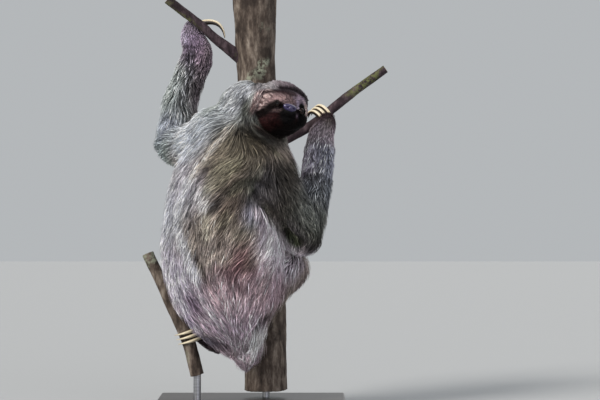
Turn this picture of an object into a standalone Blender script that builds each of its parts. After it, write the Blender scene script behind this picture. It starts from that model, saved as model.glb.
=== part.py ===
"""A three-toed sloth clinging to a slim tree, as a still, life-size museum model.

Units are metres with +Z up.  The origin is the centre of the underside of the display base.  The
animal's back faces -Y, its belly lies against the tree on the +Y side, and its head is turned over
its right shoulder to look back towards -Y.  The body is modelled whole to the tips of its coat,
then parted at the joints with thin cuts, so that every piece meets its neighbours.
"""

import math

import bmesh
import bpy
from mathutils import Matrix, Vector

MM = 0.001
GAP = 0.0003            # clear space between two pieces that meet
VOXEL = 0.0045          # grid on which the body's masses are blended
FINE_VOXEL = 0.0022     # the same for the head
BODY_TRIANGLES = 1750
HEAD_TRIANGLES = 440
CUTTER_TRIANGLES = 84
SMALLEST_PIECE = 1.5e-6    # volume of a chip of coat that a cut may leave, and that is dropped

# Display stand.
BASE_SIZE = Vector((0.300, 0.280, 0.018))
BASE_BEVEL = 0.003
ROD_RADIUS = 0.006
ROD_SINK = 0.020        # how far a rod runs up into the wood

# Head: how far it is turned over the shoulder, raised and tipped, and its eyes and nose.
HEAD_YAW = math.radians(26)
HEAD_PITCH = math.radians(-8)
HEAD_ROLL = math.radians(15)
EYE_RADIUS = 0.0052
EYE_PLACE = (21.0, -32.6, -3.5)     # millimetres on the head; the right eye mirrors the left
NOSE_PLACE = (0.0, -43.5, -6.5)
NOSE_SIZE = (7.6, 5.0, 5.0)

# Claws.
CLAW_RADIUS = 0.0036
CLAW_FLATNESS = 0.75        # width of a claw to its depth
CLAW_TAPER = 0.86
CLAW_TAPER_POWER = 1.6
CLAWS_PER_FOOT = 3
CLAW_STATIONS = 7

# Finish of each kind of piece: colour, roughness and metallic value.
FINISHES = {
    "sloth coat": ((0.20, 0.18, 0.15), 0.9, 0.0),
    "face coat": ((0.12, 0.08, 0.07), 0.85, 0.0),
    "eye": ((0.02, 0.012, 0.01), 0.08, 0.0),
    "nose leather": ((0.03, 0.03, 0.05), 0.35, 0.0),
    "claw horn": ((0.62, 0.55, 0.40), 0.45, 0.0),
    "bark": ((0.16, 0.13, 0.11), 0.9, 0.0),
    "stained wood": ((0.05, 0.05, 0.05), 0.5, 0.0),
    "brushed steel": ((0.55, 0.55, 0.56), 0.3, 1.0),
}
SHARP_EDGE = math.radians(40)


def mm(x, y, z):
    """A point given in millimetres."""
    return Vector((x, y, z)) * MM


# The body's masses: each is a row of stations, a place in millimetres and the coat's radius there.
HEAD_CENTRE = mm(47, -72, 475)
TORSO = (
    (mm(-24, -38, 412), 84), (mm(-31, -45, 358), 95), (mm(-39, -50, 296), 98), (mm(-42, -50, 242), 96),
    (mm(-33, -49, 192), 84), (mm(-25, -48, 152), 58), (mm(-13, -50, 110), 29), (mm(-5, -54, 78), 9),
)
TORSO_DEPTH = 0.80      # the torso is this much shallower than it is wide
NECK = ((mm(-16, -44, 448), 52), (mm(-3, -54, 478), 38), (mm(28, -66, 478), 36))
TAIL = ((mm(-8, -26, 140), 18), (mm(0, -34, 112), 14), (mm(4, -40, 86), 7))

UPPER_ARM_LEFT = ((mm(-68, -38, 414), 46), (mm(-98, 12, 416), 38), (mm(-124, 54, 424), 34))
FOREARM_LEFT = (
    (mm(-124, 54, 424), 34), (mm(-115, 60, 487), 32), (mm(-107, 62, 514), 30), (mm(-91, 63, 562), 27),
)
HAND_LEFT = ((mm(-90, 63, 574), 25), (mm(-96, 64, 598), 21), (mm(-95, 63, 614), 16))

UPPER_ARM_RIGHT = ((mm(20, -46, 392), 48), (mm(52, -54, 334), 40), (mm(80, -52, 282), 34))
FOREARM_RIGHT = (
    (mm(80, -52, 280), 35), (mm(95, -20, 335), 32), (mm(104, 0, 374), 29), (mm(109, 16, 416), 27),
)
HAND_RIGHT = ((mm(111, 21, 436), 23), (mm(118, 24, 452), 19), (mm(121, 26, 463), 15))

THIGH_LEFT = ((mm(-72, -44, 190), 50), (mm(-90, -26, 222), 42), (mm(-102, -8, 244), 34))
SHANK_LEFT = ((mm(-102, -8, 244), 34), (mm(-88, 10, 186), 30), (mm(-68, 20, 138), 22))
FOOT_LEFT = ((mm(-52, 24, 108), 15), (mm(-70, 21, 117), 18), (mm(-86, 17, 126), 16))

THIGH_RIGHT = ((mm(6, -42, 190), 50), (mm(34, -20, 216), 44), (mm(57, 2, 232), 36))
SHANK_RIGHT = ((mm(58, 4, 231), 34), (mm(63, 38, 220), 27), (mm(58, 72, 206), 22))
FOOT_RIGHT = ((mm(58, 80, 202), 21), (mm(44, 100, 194), 18), (mm(24, 107, 190), 15))

# In the order in which they are parted from the body: each from its far end inwards.
LIMBS = {
    "hand_left": HAND_LEFT, "forearm_left": FOREARM_LEFT, "upper_arm_left": UPPER_ARM_LEFT,
    "hand_right": HAND_RIGHT, "forearm_right": FOREARM_RIGHT, "upper_arm_right": UPPER_ARM_RIGHT,
    "foot_left": FOOT_LEFT, "shank_left": SHANK_LEFT, "thigh_left": THIGH_LEFT,
    "foot_right": FOOT_RIGHT, "shank_right": SHANK_RIGHT, "thigh_right": THIGH_RIGHT,
}
LIMB_CUT_FACTOR = 1.12     # the parting cuts run just outside the coat of each limb
LIMB_CUT_GROWTH = 0.002

# The haunches are parted from the torso by a rounded cut: its centre and half-axes.
HAUNCH_CUTS = {
    "thigh_left": (mm(-116, -20, 214), mm(48, 62, 60)),
    "thigh_right": (mm(62, -12, 222), mm(50, 60, 60)),
}

# Flat parting cuts across what is left of the body, from the top down: each piece is what lies
# above a plane, given by a point on it and its upward normal.
SECTIONS = {
    "neck": (mm(-14, -46, 452), Vector((0.30, -0.12, 0.95))),
    "chest": (mm(-34, -48, 338), Vector((-0.05, 0.0, 1.0))),
    "loin": (mm(-41, -50, 232), Vector((-0.08, 0.0, 1.0))),
}

# For each paw: the root and tip of its middle claw, how far the claw arches out from the line
# between them, and the step from one claw to the next, all in millimetres.
CLAW_SETS = {
    "hand_left": (mm(-87, 62, 618), mm(-43, 50, 595), mm(9, 0, 12), mm(0, 7.5, 1)),
    "hand_right": (mm(118, 29, 467), mm(90, 52, 466), mm(-2, -1, 14), mm(5.5, -0.5, 4.5)),
    "foot_left": (mm(-84, 7, 124), mm(-118, 2, 114), mm(2, -14, 0), mm(3, 0, -7)),
    "foot_right": (mm(17, 105, 190), mm(-19, 76, 185), mm(-4, 6, 0), mm(1, 0, -7)),
}

# The tree: bevel resolutions, then a slim stem, two limbs that the hands hold and a low one that
# the left foot holds.
STEM_SIDES = 4
LIMB_SIDES = 2
STEM = (
    (mm(23, 55, 30), 35.0), (mm(21, 55, 174), 34.0), (mm(15, 55, 335), 33.5), (mm(8, 55, 536), 31.5),
    (mm(4, 55, 668), 36.5),
)
UPPER_LIMB = (
    (mm(2, 56, 545), 14.0), (mm(-22, 51, 566), 10.0), (mm(-59, 44, 594), 8.0), (mm(-81, 40, 614), 7.6),
    (mm(-134, 32, 655), 7.0),
)
RIGHT_LIMB = (
    (mm(18, 56, 412), 11.0), (mm(50, 52, 430), 8.5), (mm(80, 49, 445), 7.8), (mm(106, 46, 462), 7.8),
    (mm(157, 38, 503), 7.4), (mm(214, 28, 544), 6.8),
)
LOW_LIMB = (
    (mm(-164, 18, 250), 9.2), (mm(-142, 13, 204), 9.8), (mm(-112, 7, 140), 10.4), (mm(-97, 5, 104), 10.8),
    (mm(-85, 5, 58), 11.2),
)


# ---------------------------------------------------------------------------------------------
# Scene helpers


def clear_scene():
    for obj in list(bpy.data.objects):
        bpy.data.objects.remove(obj, do_unlink=True)


def new_collection(name):
    collection = bpy.data.collections.new(name)
    bpy.context.scene.collection.children.link(collection)
    return collection


def new_material(name, colour, roughness, metallic):
    material = bpy.data.materials.new(name)
    material.use_nodes = True
    shader = material.node_tree.nodes["Principled BSDF"]
    shader.inputs["Base Color"].default_value = (*colour, 1.0)
    shader.inputs["Roughness"].default_value = roughness
    shader.inputs["Metallic"].default_value = metallic
    material.diffuse_color = (*colour, 1.0)
    return material


def object_of(bm, name, collection):
    """The bmesh as an object of the collection, with its world place in its mesh."""
    bmesh.ops.remove_doubles(bm, verts=bm.verts, dist=1e-7)
    bmesh.ops.recalc_face_normals(bm, faces=bm.faces)
    mesh = bpy.data.meshes.new(name)
    bm.to_mesh(mesh)
    bm.free()
    obj = bpy.data.objects.new(name, mesh)
    collection.objects.link(obj)
    return obj


def finish(obj, material):
    obj.data.materials.clear()
    obj.data.materials.append(material)
    obj.data.shade_smooth()
    obj.data.set_sharp_from_angle(angle=SHARP_EDGE)


def hide(obj):
    obj.hide_render = True
    obj.display_type = "WIRE"


def baked(obj, name, collection):
    """The evaluated mesh of an object as a new object; the old one is removed."""
    bpy.context.view_layer.update()
    graph = bpy.context.evaluated_depsgraph_get()
    mesh = bpy.data.meshes.new_from_object(obj.evaluated_get(graph))
    mesh.transform(obj.matrix_world)
    obj.name = name + "_source"
    mesh.name = name
    result = bpy.data.objects.new(name, mesh)
    collection.objects.link(result)
    bpy.data.objects.remove(obj, do_unlink=True)
    return result


# ---------------------------------------------------------------------------------------------
# Shapes


def smooth_path(points, steps):
    """Points on a Catmull-Rom curve through the given vectors (of any size)."""
    padded = [points[0] * 2 - points[1], *points, points[-1] * 2 - points[-2]]
    path = []
    for before, start, end, after in zip(padded, padded[1:], padded[2:], padded[3:]):
        for step in range(steps):
            t = step / steps
            path.append(0.5 * (2 * start + (end - before) * t
                               + (2 * before - 5 * start + 4 * end - after) * t ** 2
                               + (3 * start - before - 3 * end + after) * t ** 3))
    path.append(padded[-2])
    return path


def rounded_tube(name, points, radii, collection, steps=6, sides=2, flat_ends=False):
    """A tube along a smooth curve through the points, with a radius at each, as a mesh.

    With flat_ends it is one closed body.  Otherwise a ball rounds each end, and the three bodies
    overlap until they are blended.
    """
    stations = [Vector((*point, radius)) for point, radius in zip(points, radii)]
    path = smooth_path(stations, steps)
    curve = bpy.data.curves.new(name, "CURVE")
    curve.dimensions = "3D"
    curve.bevel_depth = 1.0
    curve.bevel_resolution = sides
    curve.use_fill_caps = True
    spline = curve.splines.new("POLY")
    spline.points.add(len(path) - 1)
    for point, station in zip(spline.points, path):
        point.co = (*station[:3], 1.0)
        point.radius = station[3]
    source = bpy.data.objects.new(name, curve)
    collection.objects.link(source)
    tube = baked(source, name, collection)
    bpy.data.curves.remove(curve)
    bm = bmesh.new()
    bm.from_mesh(tube.data)
    bmesh.ops.remove_doubles(bm, verts=bm.verts, dist=1e-6)
    if not flat_ends:
        for point, radius in ((points[0], radii[0]), (points[-1], radii[-1])):
            bmesh.ops.create_uvsphere(bm, u_segments=12, v_segments=8, radius=radius,
                                      matrix=Matrix.Translation(point))
    bmesh.ops.recalc_face_normals(bm, faces=bm.faces)
    bm.to_mesh(tube.data)
    bm.free()
    return tube


def ball(name, centre, radii, collection, turn=None):
    """An ellipsoid with its own half-axes, turned about its centre."""
    bm = bmesh.new()
    place = Matrix.Translation(centre) @ (turn or Matrix()) @ Matrix.Diagonal((*radii, 1.0))
    bmesh.ops.create_icosphere(bm, subdivisions=2, radius=1.0, matrix=place)
    return object_of(bm, name, collection)


def squeeze(obj, centre, factor, axis):
    """Scales an object's mesh along one axis about a centre."""
    scale = Matrix.Scale(factor, 4, axis)
    obj.data.transform(Matrix.Translation(centre) @ scale @ Matrix.Translation(-centre))
    return obj


def joined(name, pieces, collection):
    bm = bmesh.new()
    for piece in pieces:
        bm.from_mesh(piece.data)
        bpy.data.objects.remove(piece, do_unlink=True)
    mesh = bpy.data.meshes.new(name)
    bm.to_mesh(mesh)
    bm.free()
    obj = bpy.data.objects.new(name, mesh)
    collection.objects.link(obj)
    return obj


def blended(name, pieces, collection, voxel, smoothing, triangles):
    """One closed skin over overlapping pieces: a voxel surface, smoothed and thinned."""
    obj = joined(name, pieces, collection)
    remesh = obj.modifiers.new("blend", "REMESH")
    remesh.mode = "VOXEL"
    remesh.voxel_size = voxel
    smooth = obj.modifiers.new("smooth", "SMOOTH")
    smooth.factor = 0.5
    smooth.iterations = smoothing
    obj = baked(obj, name, collection)
    faces = sum(len(polygon.vertices) - 2 for polygon in obj.data.polygons)
    thin = obj.modifiers.new("thin", "DECIMATE")
    thin.ratio = min(1.0, triangles / faces)
    thin.use_collapse_triangulate = True
    return baked(obj, name, collection)


def boolean(obj, cutter, operation, name, collection):
    modifier = obj.modifiers.new("cut", "BOOLEAN")
    modifier.operation = operation
    modifier.solver = "EXACT"
    modifier.object = cutter
    return baked(obj, name, collection)


def swollen(obj, name, amount, collection):
    """A copy grown outwards along its normals, used to cut its own seat with a clear gap."""
    bm = bmesh.new()
    bm.from_mesh(obj.data)
    bm.normal_update()
    for vertex in bm.verts:
        vertex.co += vertex.normal * amount * vertex.calc_shell_factor()
    copy = object_of(bm, name, collection)
    hide(copy)
    return copy


def limb(name, stations, collection, growth=0.0, factor=1.0):
    """A tube through a row of stations, made fatter by a factor and an amount for a cutter."""
    points = [place for place, _ in stations]
    radii = [radius * MM * factor + growth for _, radius in stations]
    return rounded_tube(name, points, radii, collection)


def limb_cutter(name, stations, collection):
    """One closed surface that runs just outside a limb's coat."""
    tube = limb(name + "_tube", stations, collection, LIMB_CUT_GROWTH, LIMB_CUT_FACTOR)
    return blended(name, [tube], collection, VOXEL, 2, CUTTER_TRIANGLES)


def islands(bm):
    """The loose parts of a mesh, as sets of faces."""
    left = set(bm.faces)
    found = []
    while left:
        stack = [left.pop()]
        part = set(stack)
        while stack:
            for edge in stack.pop().edges:
                for other in edge.link_faces:
                    if other in left:
                        left.remove(other)
                        part.add(other)
                        stack.append(other)
        found.append(part)
    return found


def without_chips(obj):
    """Drops the small chips of coat that a cut leaves beside a piece."""
    bm = bmesh.new()
    bm.from_mesh(obj.data)
    bmesh.ops.remove_doubles(bm, verts=bm.verts, dist=1e-6)
    for part in islands(bm):
        chip = bmesh.new()
        places = {}
        for face in part:
            for vertex in face.verts:
                if vertex not in places:
                    places[vertex] = chip.verts.new(vertex.co)
            chip.faces.new([places[vertex] for vertex in face.verts])
        volume = chip.calc_volume()
        chip.free()
        if abs(volume) < SMALLEST_PIECE:
            bmesh.ops.delete(bm, geom=list(part), context="FACES")
    bm.to_mesh(obj.data)
    bm.free()
    return obj


def parted(body, cutter, name, parts, cutters):
    """Takes the stretch inside a cutter off the body: gives the stretch and what is left."""
    hide(cutter)
    copy = bpy.data.objects.new(name + "_copy", body.data.copy())
    cutters.objects.link(copy)
    piece = without_chips(boolean(copy, cutter, "INTERSECT", name, parts))
    room = swollen(cutter, name + "_room", GAP, cutters)
    rest = without_chips(boolean(body, room, "DIFFERENCE", "body", cutters))
    return piece, rest


def seated(obj, others, cutters):
    """Cuts a seat in an object for each of the others, with the gap all round."""
    for other in others:
        name = obj.name
        collection = obj.users_collection[0]
        room = swollen(other, other.name + "_seat", GAP, cutters)
        obj = boolean(obj, room, "DIFFERENCE", name, collection)
    return obj


# ---------------------------------------------------------------------------------------------
# Head


def head_turn():
    return (Matrix.Rotation(HEAD_YAW, 4, "Z") @ Matrix.Rotation(HEAD_PITCH, 4, "X")
            @ Matrix.Rotation(HEAD_ROLL, 4, "Y"))


def on_head(x, y, z):
    """A place on the head in millimetres: x across the face, -y out of it, z up."""
    return HEAD_CENTRE + head_turn() @ mm(x, y, z)


def head_ball(name, place, size, collection):
    return ball(name, on_head(*place), mm(*size), collection, head_turn())


def make_head(parts, cutters):
    """A round crown with a hood of coat, a flat short-haired face and a small blunt muzzle."""
    masses = [
        head_ball("crown", (0, 5, 0), (50, 41, 48.5), cutters),
        head_ball("face", (0, -20, -4), (35, 17, 31), cutters),
        head_ball("muzzle", (0, -31, -10), (15, 14, 11), cutters),
        head_ball("chin", (0, -28, -20), (14, 10, 8), cutters),
    ]
    return blended("head", masses, parts, FINE_VOXEL, 5, HEAD_TRIANGLES)


def make_eyes(parts):
    places = {"eye_right": -EYE_PLACE[0], "eye_left": EYE_PLACE[0]}
    radii = Vector((1, 1, 1)) * EYE_RADIUS
    return [ball(name, on_head(x, *EYE_PLACE[1:]), radii, parts, head_turn())
            for name, x in places.items()]


def make_nose(parts):
    return ball("nose", on_head(*NOSE_PLACE), mm(*NOSE_SIZE), parts, head_turn())


# ---------------------------------------------------------------------------------------------
# Claws


def make_claw(name, root, tip, arch, parts):
    """A hooked claw: a tapering arc, a little deeper than it is wide."""
    points = []
    radii = []
    for index in range(CLAW_STATIONS):
        along = index / (CLAW_STATIONS - 1)
        points.append(root.lerp(tip, along) + arch * 4 * along * (1 - along))
        radii.append(CLAW_RADIUS * (1 - CLAW_TAPER * along ** CLAW_TAPER_POWER))
    claw = rounded_tube(name, points, radii, parts, steps=1, sides=1, flat_ends=True)
    side = (tip - root).cross(arch).normalized()
    return squeeze(claw, root, CLAW_FLATNESS, side)


def make_claws(parts):
    claws = []
    for paw, (root, tip, arch, step) in CLAW_SETS.items():
        for index in range(CLAWS_PER_FOOT):
            shift = step * (index - 1)
            name = f"claw_{paw}_{index + 1}"
            claws.append(make_claw(name, root + shift, tip + shift, arch, parts))
    return claws


# ---------------------------------------------------------------------------------------------
# Tree and stand


def make_wood(name, stations, sides, parts):
    points = [place for place, _ in stations]
    radii = [radius * MM for _, radius in stations]
    return rounded_tube(name, points, radii, parts, steps=3, sides=sides, flat_ends=True)


def make_tree(parts, cutters):
    """A cut length of the stem, and of each limb that is held, with sawn ends."""
    stem = make_wood("perch_stem", STEM, STEM_SIDES, parts)
    upper = seated(make_wood("perch_limb_upper", UPPER_LIMB, LIMB_SIDES, parts), [stem], cutters)
    right = seated(make_wood("perch_limb_right", RIGHT_LIMB, LIMB_SIDES, parts), [stem], cutters)
    low = make_wood("perch_limb_low", LOW_LIMB, LIMB_SIDES, parts)
    return [stem, upper, right, low]


def make_stand(parts):
    """A flat base with bevelled edges and two short rods, up to the stem and to the low limb."""
    bm = bmesh.new()
    place = Matrix.Translation((0, 0, BASE_SIZE.z / 2)) @ Matrix.Diagonal((*BASE_SIZE, 1.0))
    bmesh.ops.create_cube(bm, size=1.0, matrix=place)
    bmesh.ops.bevel(bm, geom=bm.edges[:], offset=BASE_BEVEL, offset_type="OFFSET", affect="EDGES",
                    segments=2, profile=0.5, material=-1)
    base = object_of(bm, "stand_base", parts)
    rods = []
    for name, stations in (("stand_rod_stem", STEM), ("stand_rod_limb", LOW_LIMB)):
        end = min((place for place, _ in stations), key=lambda place: place.z)
        bottom = BASE_SIZE.z + GAP
        bm = bmesh.new()
        height = end.z - bottom + ROD_SINK
        middle = Matrix.Translation((end.x, end.y, bottom + height / 2))
        bmesh.ops.create_cone(bm, cap_ends=True, segments=20, radius1=ROD_RADIUS, radius2=ROD_RADIUS,
                              depth=height, matrix=middle)
        rods.append(object_of(bm, name, parts))
    return [base, *rods]


# ---------------------------------------------------------------------------------------------
# Body


def make_body(cutters):
    masses = []
    torso = limb("torso", TORSO, cutters)
    masses.append(squeeze(torso, TORSO[2][0], TORSO_DEPTH, Vector((0, 1, 0))))
    for name, stations in LIMBS.items():
        masses.append(limb(name + "_mass", stations, cutters))
    masses.append(limb("neck_mass", NECK, cutters))
    masses.append(limb("tail_mass", TAIL, cutters))
    return blended("body", masses, cutters, VOXEL, 6, BODY_TRIANGLES)


def half_space(name, point, normal, cutters):
    """A large box whose underside lies on a plane."""
    bm = bmesh.new()
    turn = normal.to_track_quat("Z", "Y").to_matrix().to_4x4()
    place = Matrix.Translation(point) @ turn @ Matrix.Translation((0, 0, 0.5))
    bmesh.ops.create_cube(bm, size=1.0, matrix=place)
    return object_of(bm, name, cutters)


def part_body(body, parts, cutters):
    """Divides the body into its limbs, tail and lengths of torso."""
    pieces = {}
    for name, stations in LIMBS.items():
        if name in HAUNCH_CUTS:
            centre, radii = HAUNCH_CUTS[name]
            cutter = ball(name + "_cutter", centre, radii, cutters)
        else:
            cutter = limb_cutter(name + "_cutter", stations, cutters)
        pieces[name], body = parted(body, cutter, name, parts, cutters)
    cutter = limb_cutter("tail_cutter", TAIL, cutters)
    pieces["tail"], body = parted(body, cutter, "tail", parts, cutters)
    for name, (point, normal) in SECTIONS.items():
        cutter = half_space(name + "_cutter", point, normal, cutters)
        pieces[name], body = parted(body, cutter, name, parts, cutters)
    body.name = "rump"
    cutters.objects.unlink(body)
    parts.objects.link(body)
    pieces["rump"] = body
    return pieces


def main():
    clear_scene()
    parts = new_collection("three_toed_sloth")
    cutters = new_collection("cutters")
    cutters.hide_render = True

    tree = make_tree(parts, cutters)
    stand = make_stand(parts)
    tree = [seated(wood, stand[1:], cutters) for wood in tree]
    head = make_head(parts, cutters)
    eyes = make_eyes(parts)
    nose = make_nose(parts)
    claws = make_claws(parts)

    body = make_body(cutters)
    body = without_chips(seated(body, [head, *tree, *claws], cutters))
    head = seated(head, [*eyes, nose, *tree], cutters)
    pieces = part_body(body, parts, cutters)

    groups = {
        "sloth coat": list(pieces.values()), "face coat": [head], "eye": eyes, "nose leather": [nose],
        "claw horn": claws, "bark": tree, "stained wood": stand[:1], "brushed steel": stand[1:],
    }
    for name, group in groups.items():
        for obj in group:
            finish(obj, new_material(name, *FINISHES[name]))


main()
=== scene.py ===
"""The looks of a life-size museum model of a three-toed sloth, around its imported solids.

Metres, with +Z up.  The animal clings to the slim tree with its belly, turns its back to -Y and
looks back over its right shoulder.  One skin stands for all the flesh, and the coat is made of
solid locks that follow the lie of the hair.
"""

import math

import bmesh
import bpy
import numpy as np
from mathutils import Matrix, Vector, noise
from mathutils.bvhtree import BVHTree
from mathutils.kdtree import KDTree

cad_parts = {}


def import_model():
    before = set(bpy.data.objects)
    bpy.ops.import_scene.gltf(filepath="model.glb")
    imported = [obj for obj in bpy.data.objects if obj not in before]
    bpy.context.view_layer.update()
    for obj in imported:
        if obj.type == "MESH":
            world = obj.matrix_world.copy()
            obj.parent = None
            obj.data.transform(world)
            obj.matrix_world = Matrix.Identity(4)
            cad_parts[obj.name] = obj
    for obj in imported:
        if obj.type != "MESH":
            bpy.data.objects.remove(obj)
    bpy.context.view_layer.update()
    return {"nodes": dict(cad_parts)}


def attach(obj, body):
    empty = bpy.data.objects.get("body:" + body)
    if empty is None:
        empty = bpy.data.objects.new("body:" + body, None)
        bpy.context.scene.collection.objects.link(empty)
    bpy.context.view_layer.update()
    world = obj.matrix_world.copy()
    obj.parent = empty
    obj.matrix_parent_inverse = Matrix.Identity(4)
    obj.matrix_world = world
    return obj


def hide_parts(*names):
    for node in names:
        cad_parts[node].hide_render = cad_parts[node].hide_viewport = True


MM = 0.001
SEED = 20
TINY = 1e-9

# ---- Sizes and places, in millimetres ----

HEAD_CENTRE = Vector((47, -72, 475))
HEAD_TURN = (
    Matrix.Rotation(math.radians(26), 3, "Z")
    @ Matrix.Rotation(math.radians(-8), 3, "X")
    @ Matrix.Rotation(math.radians(15), 3, "Y")
)
HEAD_FRAME = Matrix.Translation(HEAD_CENTRE * MM) @ HEAD_TURN.to_4x4() @ Matrix.Scale(MM, 4)

# The flesh under the coat: rows of x, y, z, the coat's outer radius and the coat's depth there.
MASSES = {
    "torso": (
        (-24, -38, 412, 84, 15), (-31, -45, 358, 95, 18), (-39, -50, 296, 98, 19),
        (-42, -50, 242, 96, 19), (-33, -49, 192, 84, 19), (-25, -48, 152, 58, 18),
        (-9, -50, 110, 23, 12), (-7, -54, 86, 9, 5),
    ),
    "neck": ((-16, -44, 448, 52, 13), (-3, -54, 482, 41, 8), (26, -64, 483, 37, 6)),
    "tail": ((-8, -26, 140, 18, 9), (0, -34, 112, 14, 7), (4, -40, 90, 8, 4)),
    "upper_arm_left": ((-68, -38, 414, 46, 13), (-98, 12, 416, 38, 12), (-124, 54, 424, 34, 12)),
    "forearm_left": (
        (-124, 54, 424, 34, 12), (-115, 60, 487, 32, 11), (-107, 62, 514, 30, 9),
        (-89, 63, 562, 29, 4),
    ),
    "hand_left": (
        (-89, 63, 562, 28, 3.5), (-88, 63, 574, 26.5, 3), (-96, 64, 598, 21, 3),
        (-95, 63, 614, 15, 3),
    ),
    "upper_arm_right": ((20, -46, 392, 48, 14), (52, -54, 334, 40, 13), (80, -52, 282, 34, 12)),
    "forearm_right": (
        (80, -52, 280, 35, 12), (95, -20, 335, 32, 11), (104, 0, 374, 29, 8),
        (109, 16, 416, 27, 4),
    ),
    "hand_right": (
        (109, 16, 416, 26, 3.5), (111, 21, 436, 23, 3), (118, 24, 452, 19, 3),
        (121, 26, 463, 15, 3),
    ),
    "thigh_left": ((-72, -44, 190, 50, 16), (-90, -26, 222, 42, 14), (-102, -8, 244, 34, 12)),
    "shank_left": ((-102, -8, 244, 34, 12), (-88, 10, 186, 30, 10), (-68, 20, 138, 22, 7)),
    "foot_left": (
        (-62, 22, 122, 17, 4), (-54, 22, 104, 16, 3), (-70, 21, 117, 18, 3), (-84, 17, 126, 15, 3),
    ),
    "thigh_right": ((6, -42, 190, 50, 16), (34, -20, 216, 44, 14), (57, 2, 232, 36, 13)),
    "shank_right": ((58, 4, 231, 34, 12), (63, 38, 220, 27, 9), (58, 72, 206, 22, 6)),
    "foot_right": ((58, 80, 202, 21, 5), (44, 100, 194, 18, 4), (26, 106, 190, 14, 3)),
}
MASS_NAMES = (*MASSES, "head")
HEAD_INDEX = len(MASSES)
TORSO_DEPTH = 0.80          # the torso is this much shallower than it is wide, about TORSO_MIDDLE
TORSO_MIDDLE = -50.0
CHAIN_STEPS = 5             # balls between two rows of a mass
AXIS_STEPS = 3              # straight lengths between two rows, where the nearest mass is sought
LARGE_BALL = 30             # a ball over this radius is cut finer
FINGER_BALLS = 7            # balls from the paw to the root of each claw
FINGER_RADIUS = 7.5
FINGER_TAPER = 2.6

# The head in its own frame, x across the face, -y out of it, z up: centre, half-axes, coat depth.
HEAD_BALLS = {
    "crown": ((1.5, 4, 0.5), (48.5, 39.5, 47.0), 7.0),
    "temple_left": ((23, 3, 16), (23.5, 29.0, 22.0), 6.0),
    "face": ((1, -19, -4), (38.5, 17.0, 32.0), 2.6),
    "cheek_left": ((22, -20, -14), (16.0, 12.5, 14.0), 2.2),
    "cheek_right": ((-20, -20, -15), (15.0, 12.5, 14.0), 2.2),
    "brow": ((0, -25, 9), (23.0, 11.0, 9.0), 2.0),
    "muzzle": ((0, -29.5, -10), (15.5, 14.0, 11.0), 1.4),
    "chin": ((0, -27, -21), (13.0, 11.0, 8.5), 1.6),
}
HEAD_BLEND = 5.0            # how softly these run into each other
HEAD_DEPTH = 7.0            # the coat's depth on the head
HEAD_CLAIM = 1.0            # how far the head's coat reaches onto its neighbours
HEAD_RADIUS = 42            # of the ball that the head is unrolled from
EYE_PLACE = Vector((21.0, -32.6, -3.5))
EYE_RADIUS = 5.2
EYE_CLEAR = 4.6             # no hair grows this close to the middle of an eye
LID_SIZE = (6.9, 6.1, 6.3)
LID_OPENING = (3.7, 4.8, 2.5)
SOCKET_DEPTH, SOCKET_REACH = 2.2, 6.5
LIP_DEPTH, CLEFT_DEPTH, CORNER_DEPTH, BRIDGE_HEIGHT = 1.5, 0.8, 0.9, 1.0
NOSE_PLACE = Vector((-1.6, -40.2, -5.6))
NOSE_SIZE = Vector((11.2, 6.0, 6.0))
NOSE_BACK = -38             # hair of the face grows behind this, in y

# Where the skin of the face is cut finer: how far from which places, for the face, eyes and mouth.
FACE_CUTS = (
    (34, ((0, -34, -6),)),
    (10.5, ((21, -35, -3.5), (-21, -35, -3.5))),
    (19, ((0, -40, -16),)),
)
PROJECT_ROUNDS = 5
PRESS_ROUNDS = 36
PRESS_START = -56.0         # in front of the whole face, in y

# For each paw: the root and tip of its middle claw, how far the claw arches out from the line
# between them, and the step from one claw to the next.
CLAW_SETS = {
    "hand_left": ((-87, 62, 618), (-43, 50, 595), (9, 0, 12), (0, 7.5, 1)),
    "hand_right": ((118, 29, 467), (90, 52, 466), (-2, -1, 14), (5.5, -0.5, 4.5)),
    "foot_left": ((-84, 7, 124), (-118, 2, 114), (2, -14, 0), (3, 0, -7)),
    "foot_right": ((17, 105, 190), (-19, 76, 185), (-4, 6, 0), (1, 0, -7)),
}
CLAW_RADIUS = 4.6
CLAW_TAPER = 0.86
CLAW_FLATNESS = 0.72
CLAW_RINGS = 26
CLAW_SIDES = 16

# The tree: rows of x, y, z and radius.
STEM = (
    (23, 55, 30, 35), (21, 55, 174, 34), (15, 55, 335, 33.5), (8, 55, 536, 31.5),
    (4, 55, 668, 36.5),
)
UPPER_LIMB = (
    (2, 56, 545, 14), (-22, 51, 566, 10), (-59, 44, 594, 8), (-81, 40, 614, 7.6),
    (-134, 32, 655, 7),
)
RIGHT_LIMB = (
    (18, 56, 412, 11), (50, 52, 430, 8.5), (80, 49, 445, 7.8), (106, 46, 462, 7.8),
    (157, 38, 503, 7.4), (214, 28, 544, 6.8),
)
LOW_LIMB = (
    (-164, 18, 250, 9.2), (-142, 13, 204, 9.8), (-112, 7, 140, 10.4), (-97, 5, 104, 10.8),
    (-85, 5, 58, 11.2),
)
BARK_SQUEEZE = 0.35         # swellings and cracks run this much slower along the stem
SWELL_SIZE = 22
CRACK_SIZE = 7.0

BASE_SIZE = Vector((300, 280, 18))
BASE_BEVEL = 3.0

SKIN_GRID = 2.3             # grid on which the masses are blended into one skin
SKIN_SMOOTHING = 9

# The view, in metres: VIEW_WIDTH is seen across at VIEW_DISTANCE.
CAMERA_PLACE = (0.0775, -3.26, 0.335)
VIEW_DISTANCE = 3.2
VIEW_WIDTH = 0.93
SENSOR_WIDTH = 36.0

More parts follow.
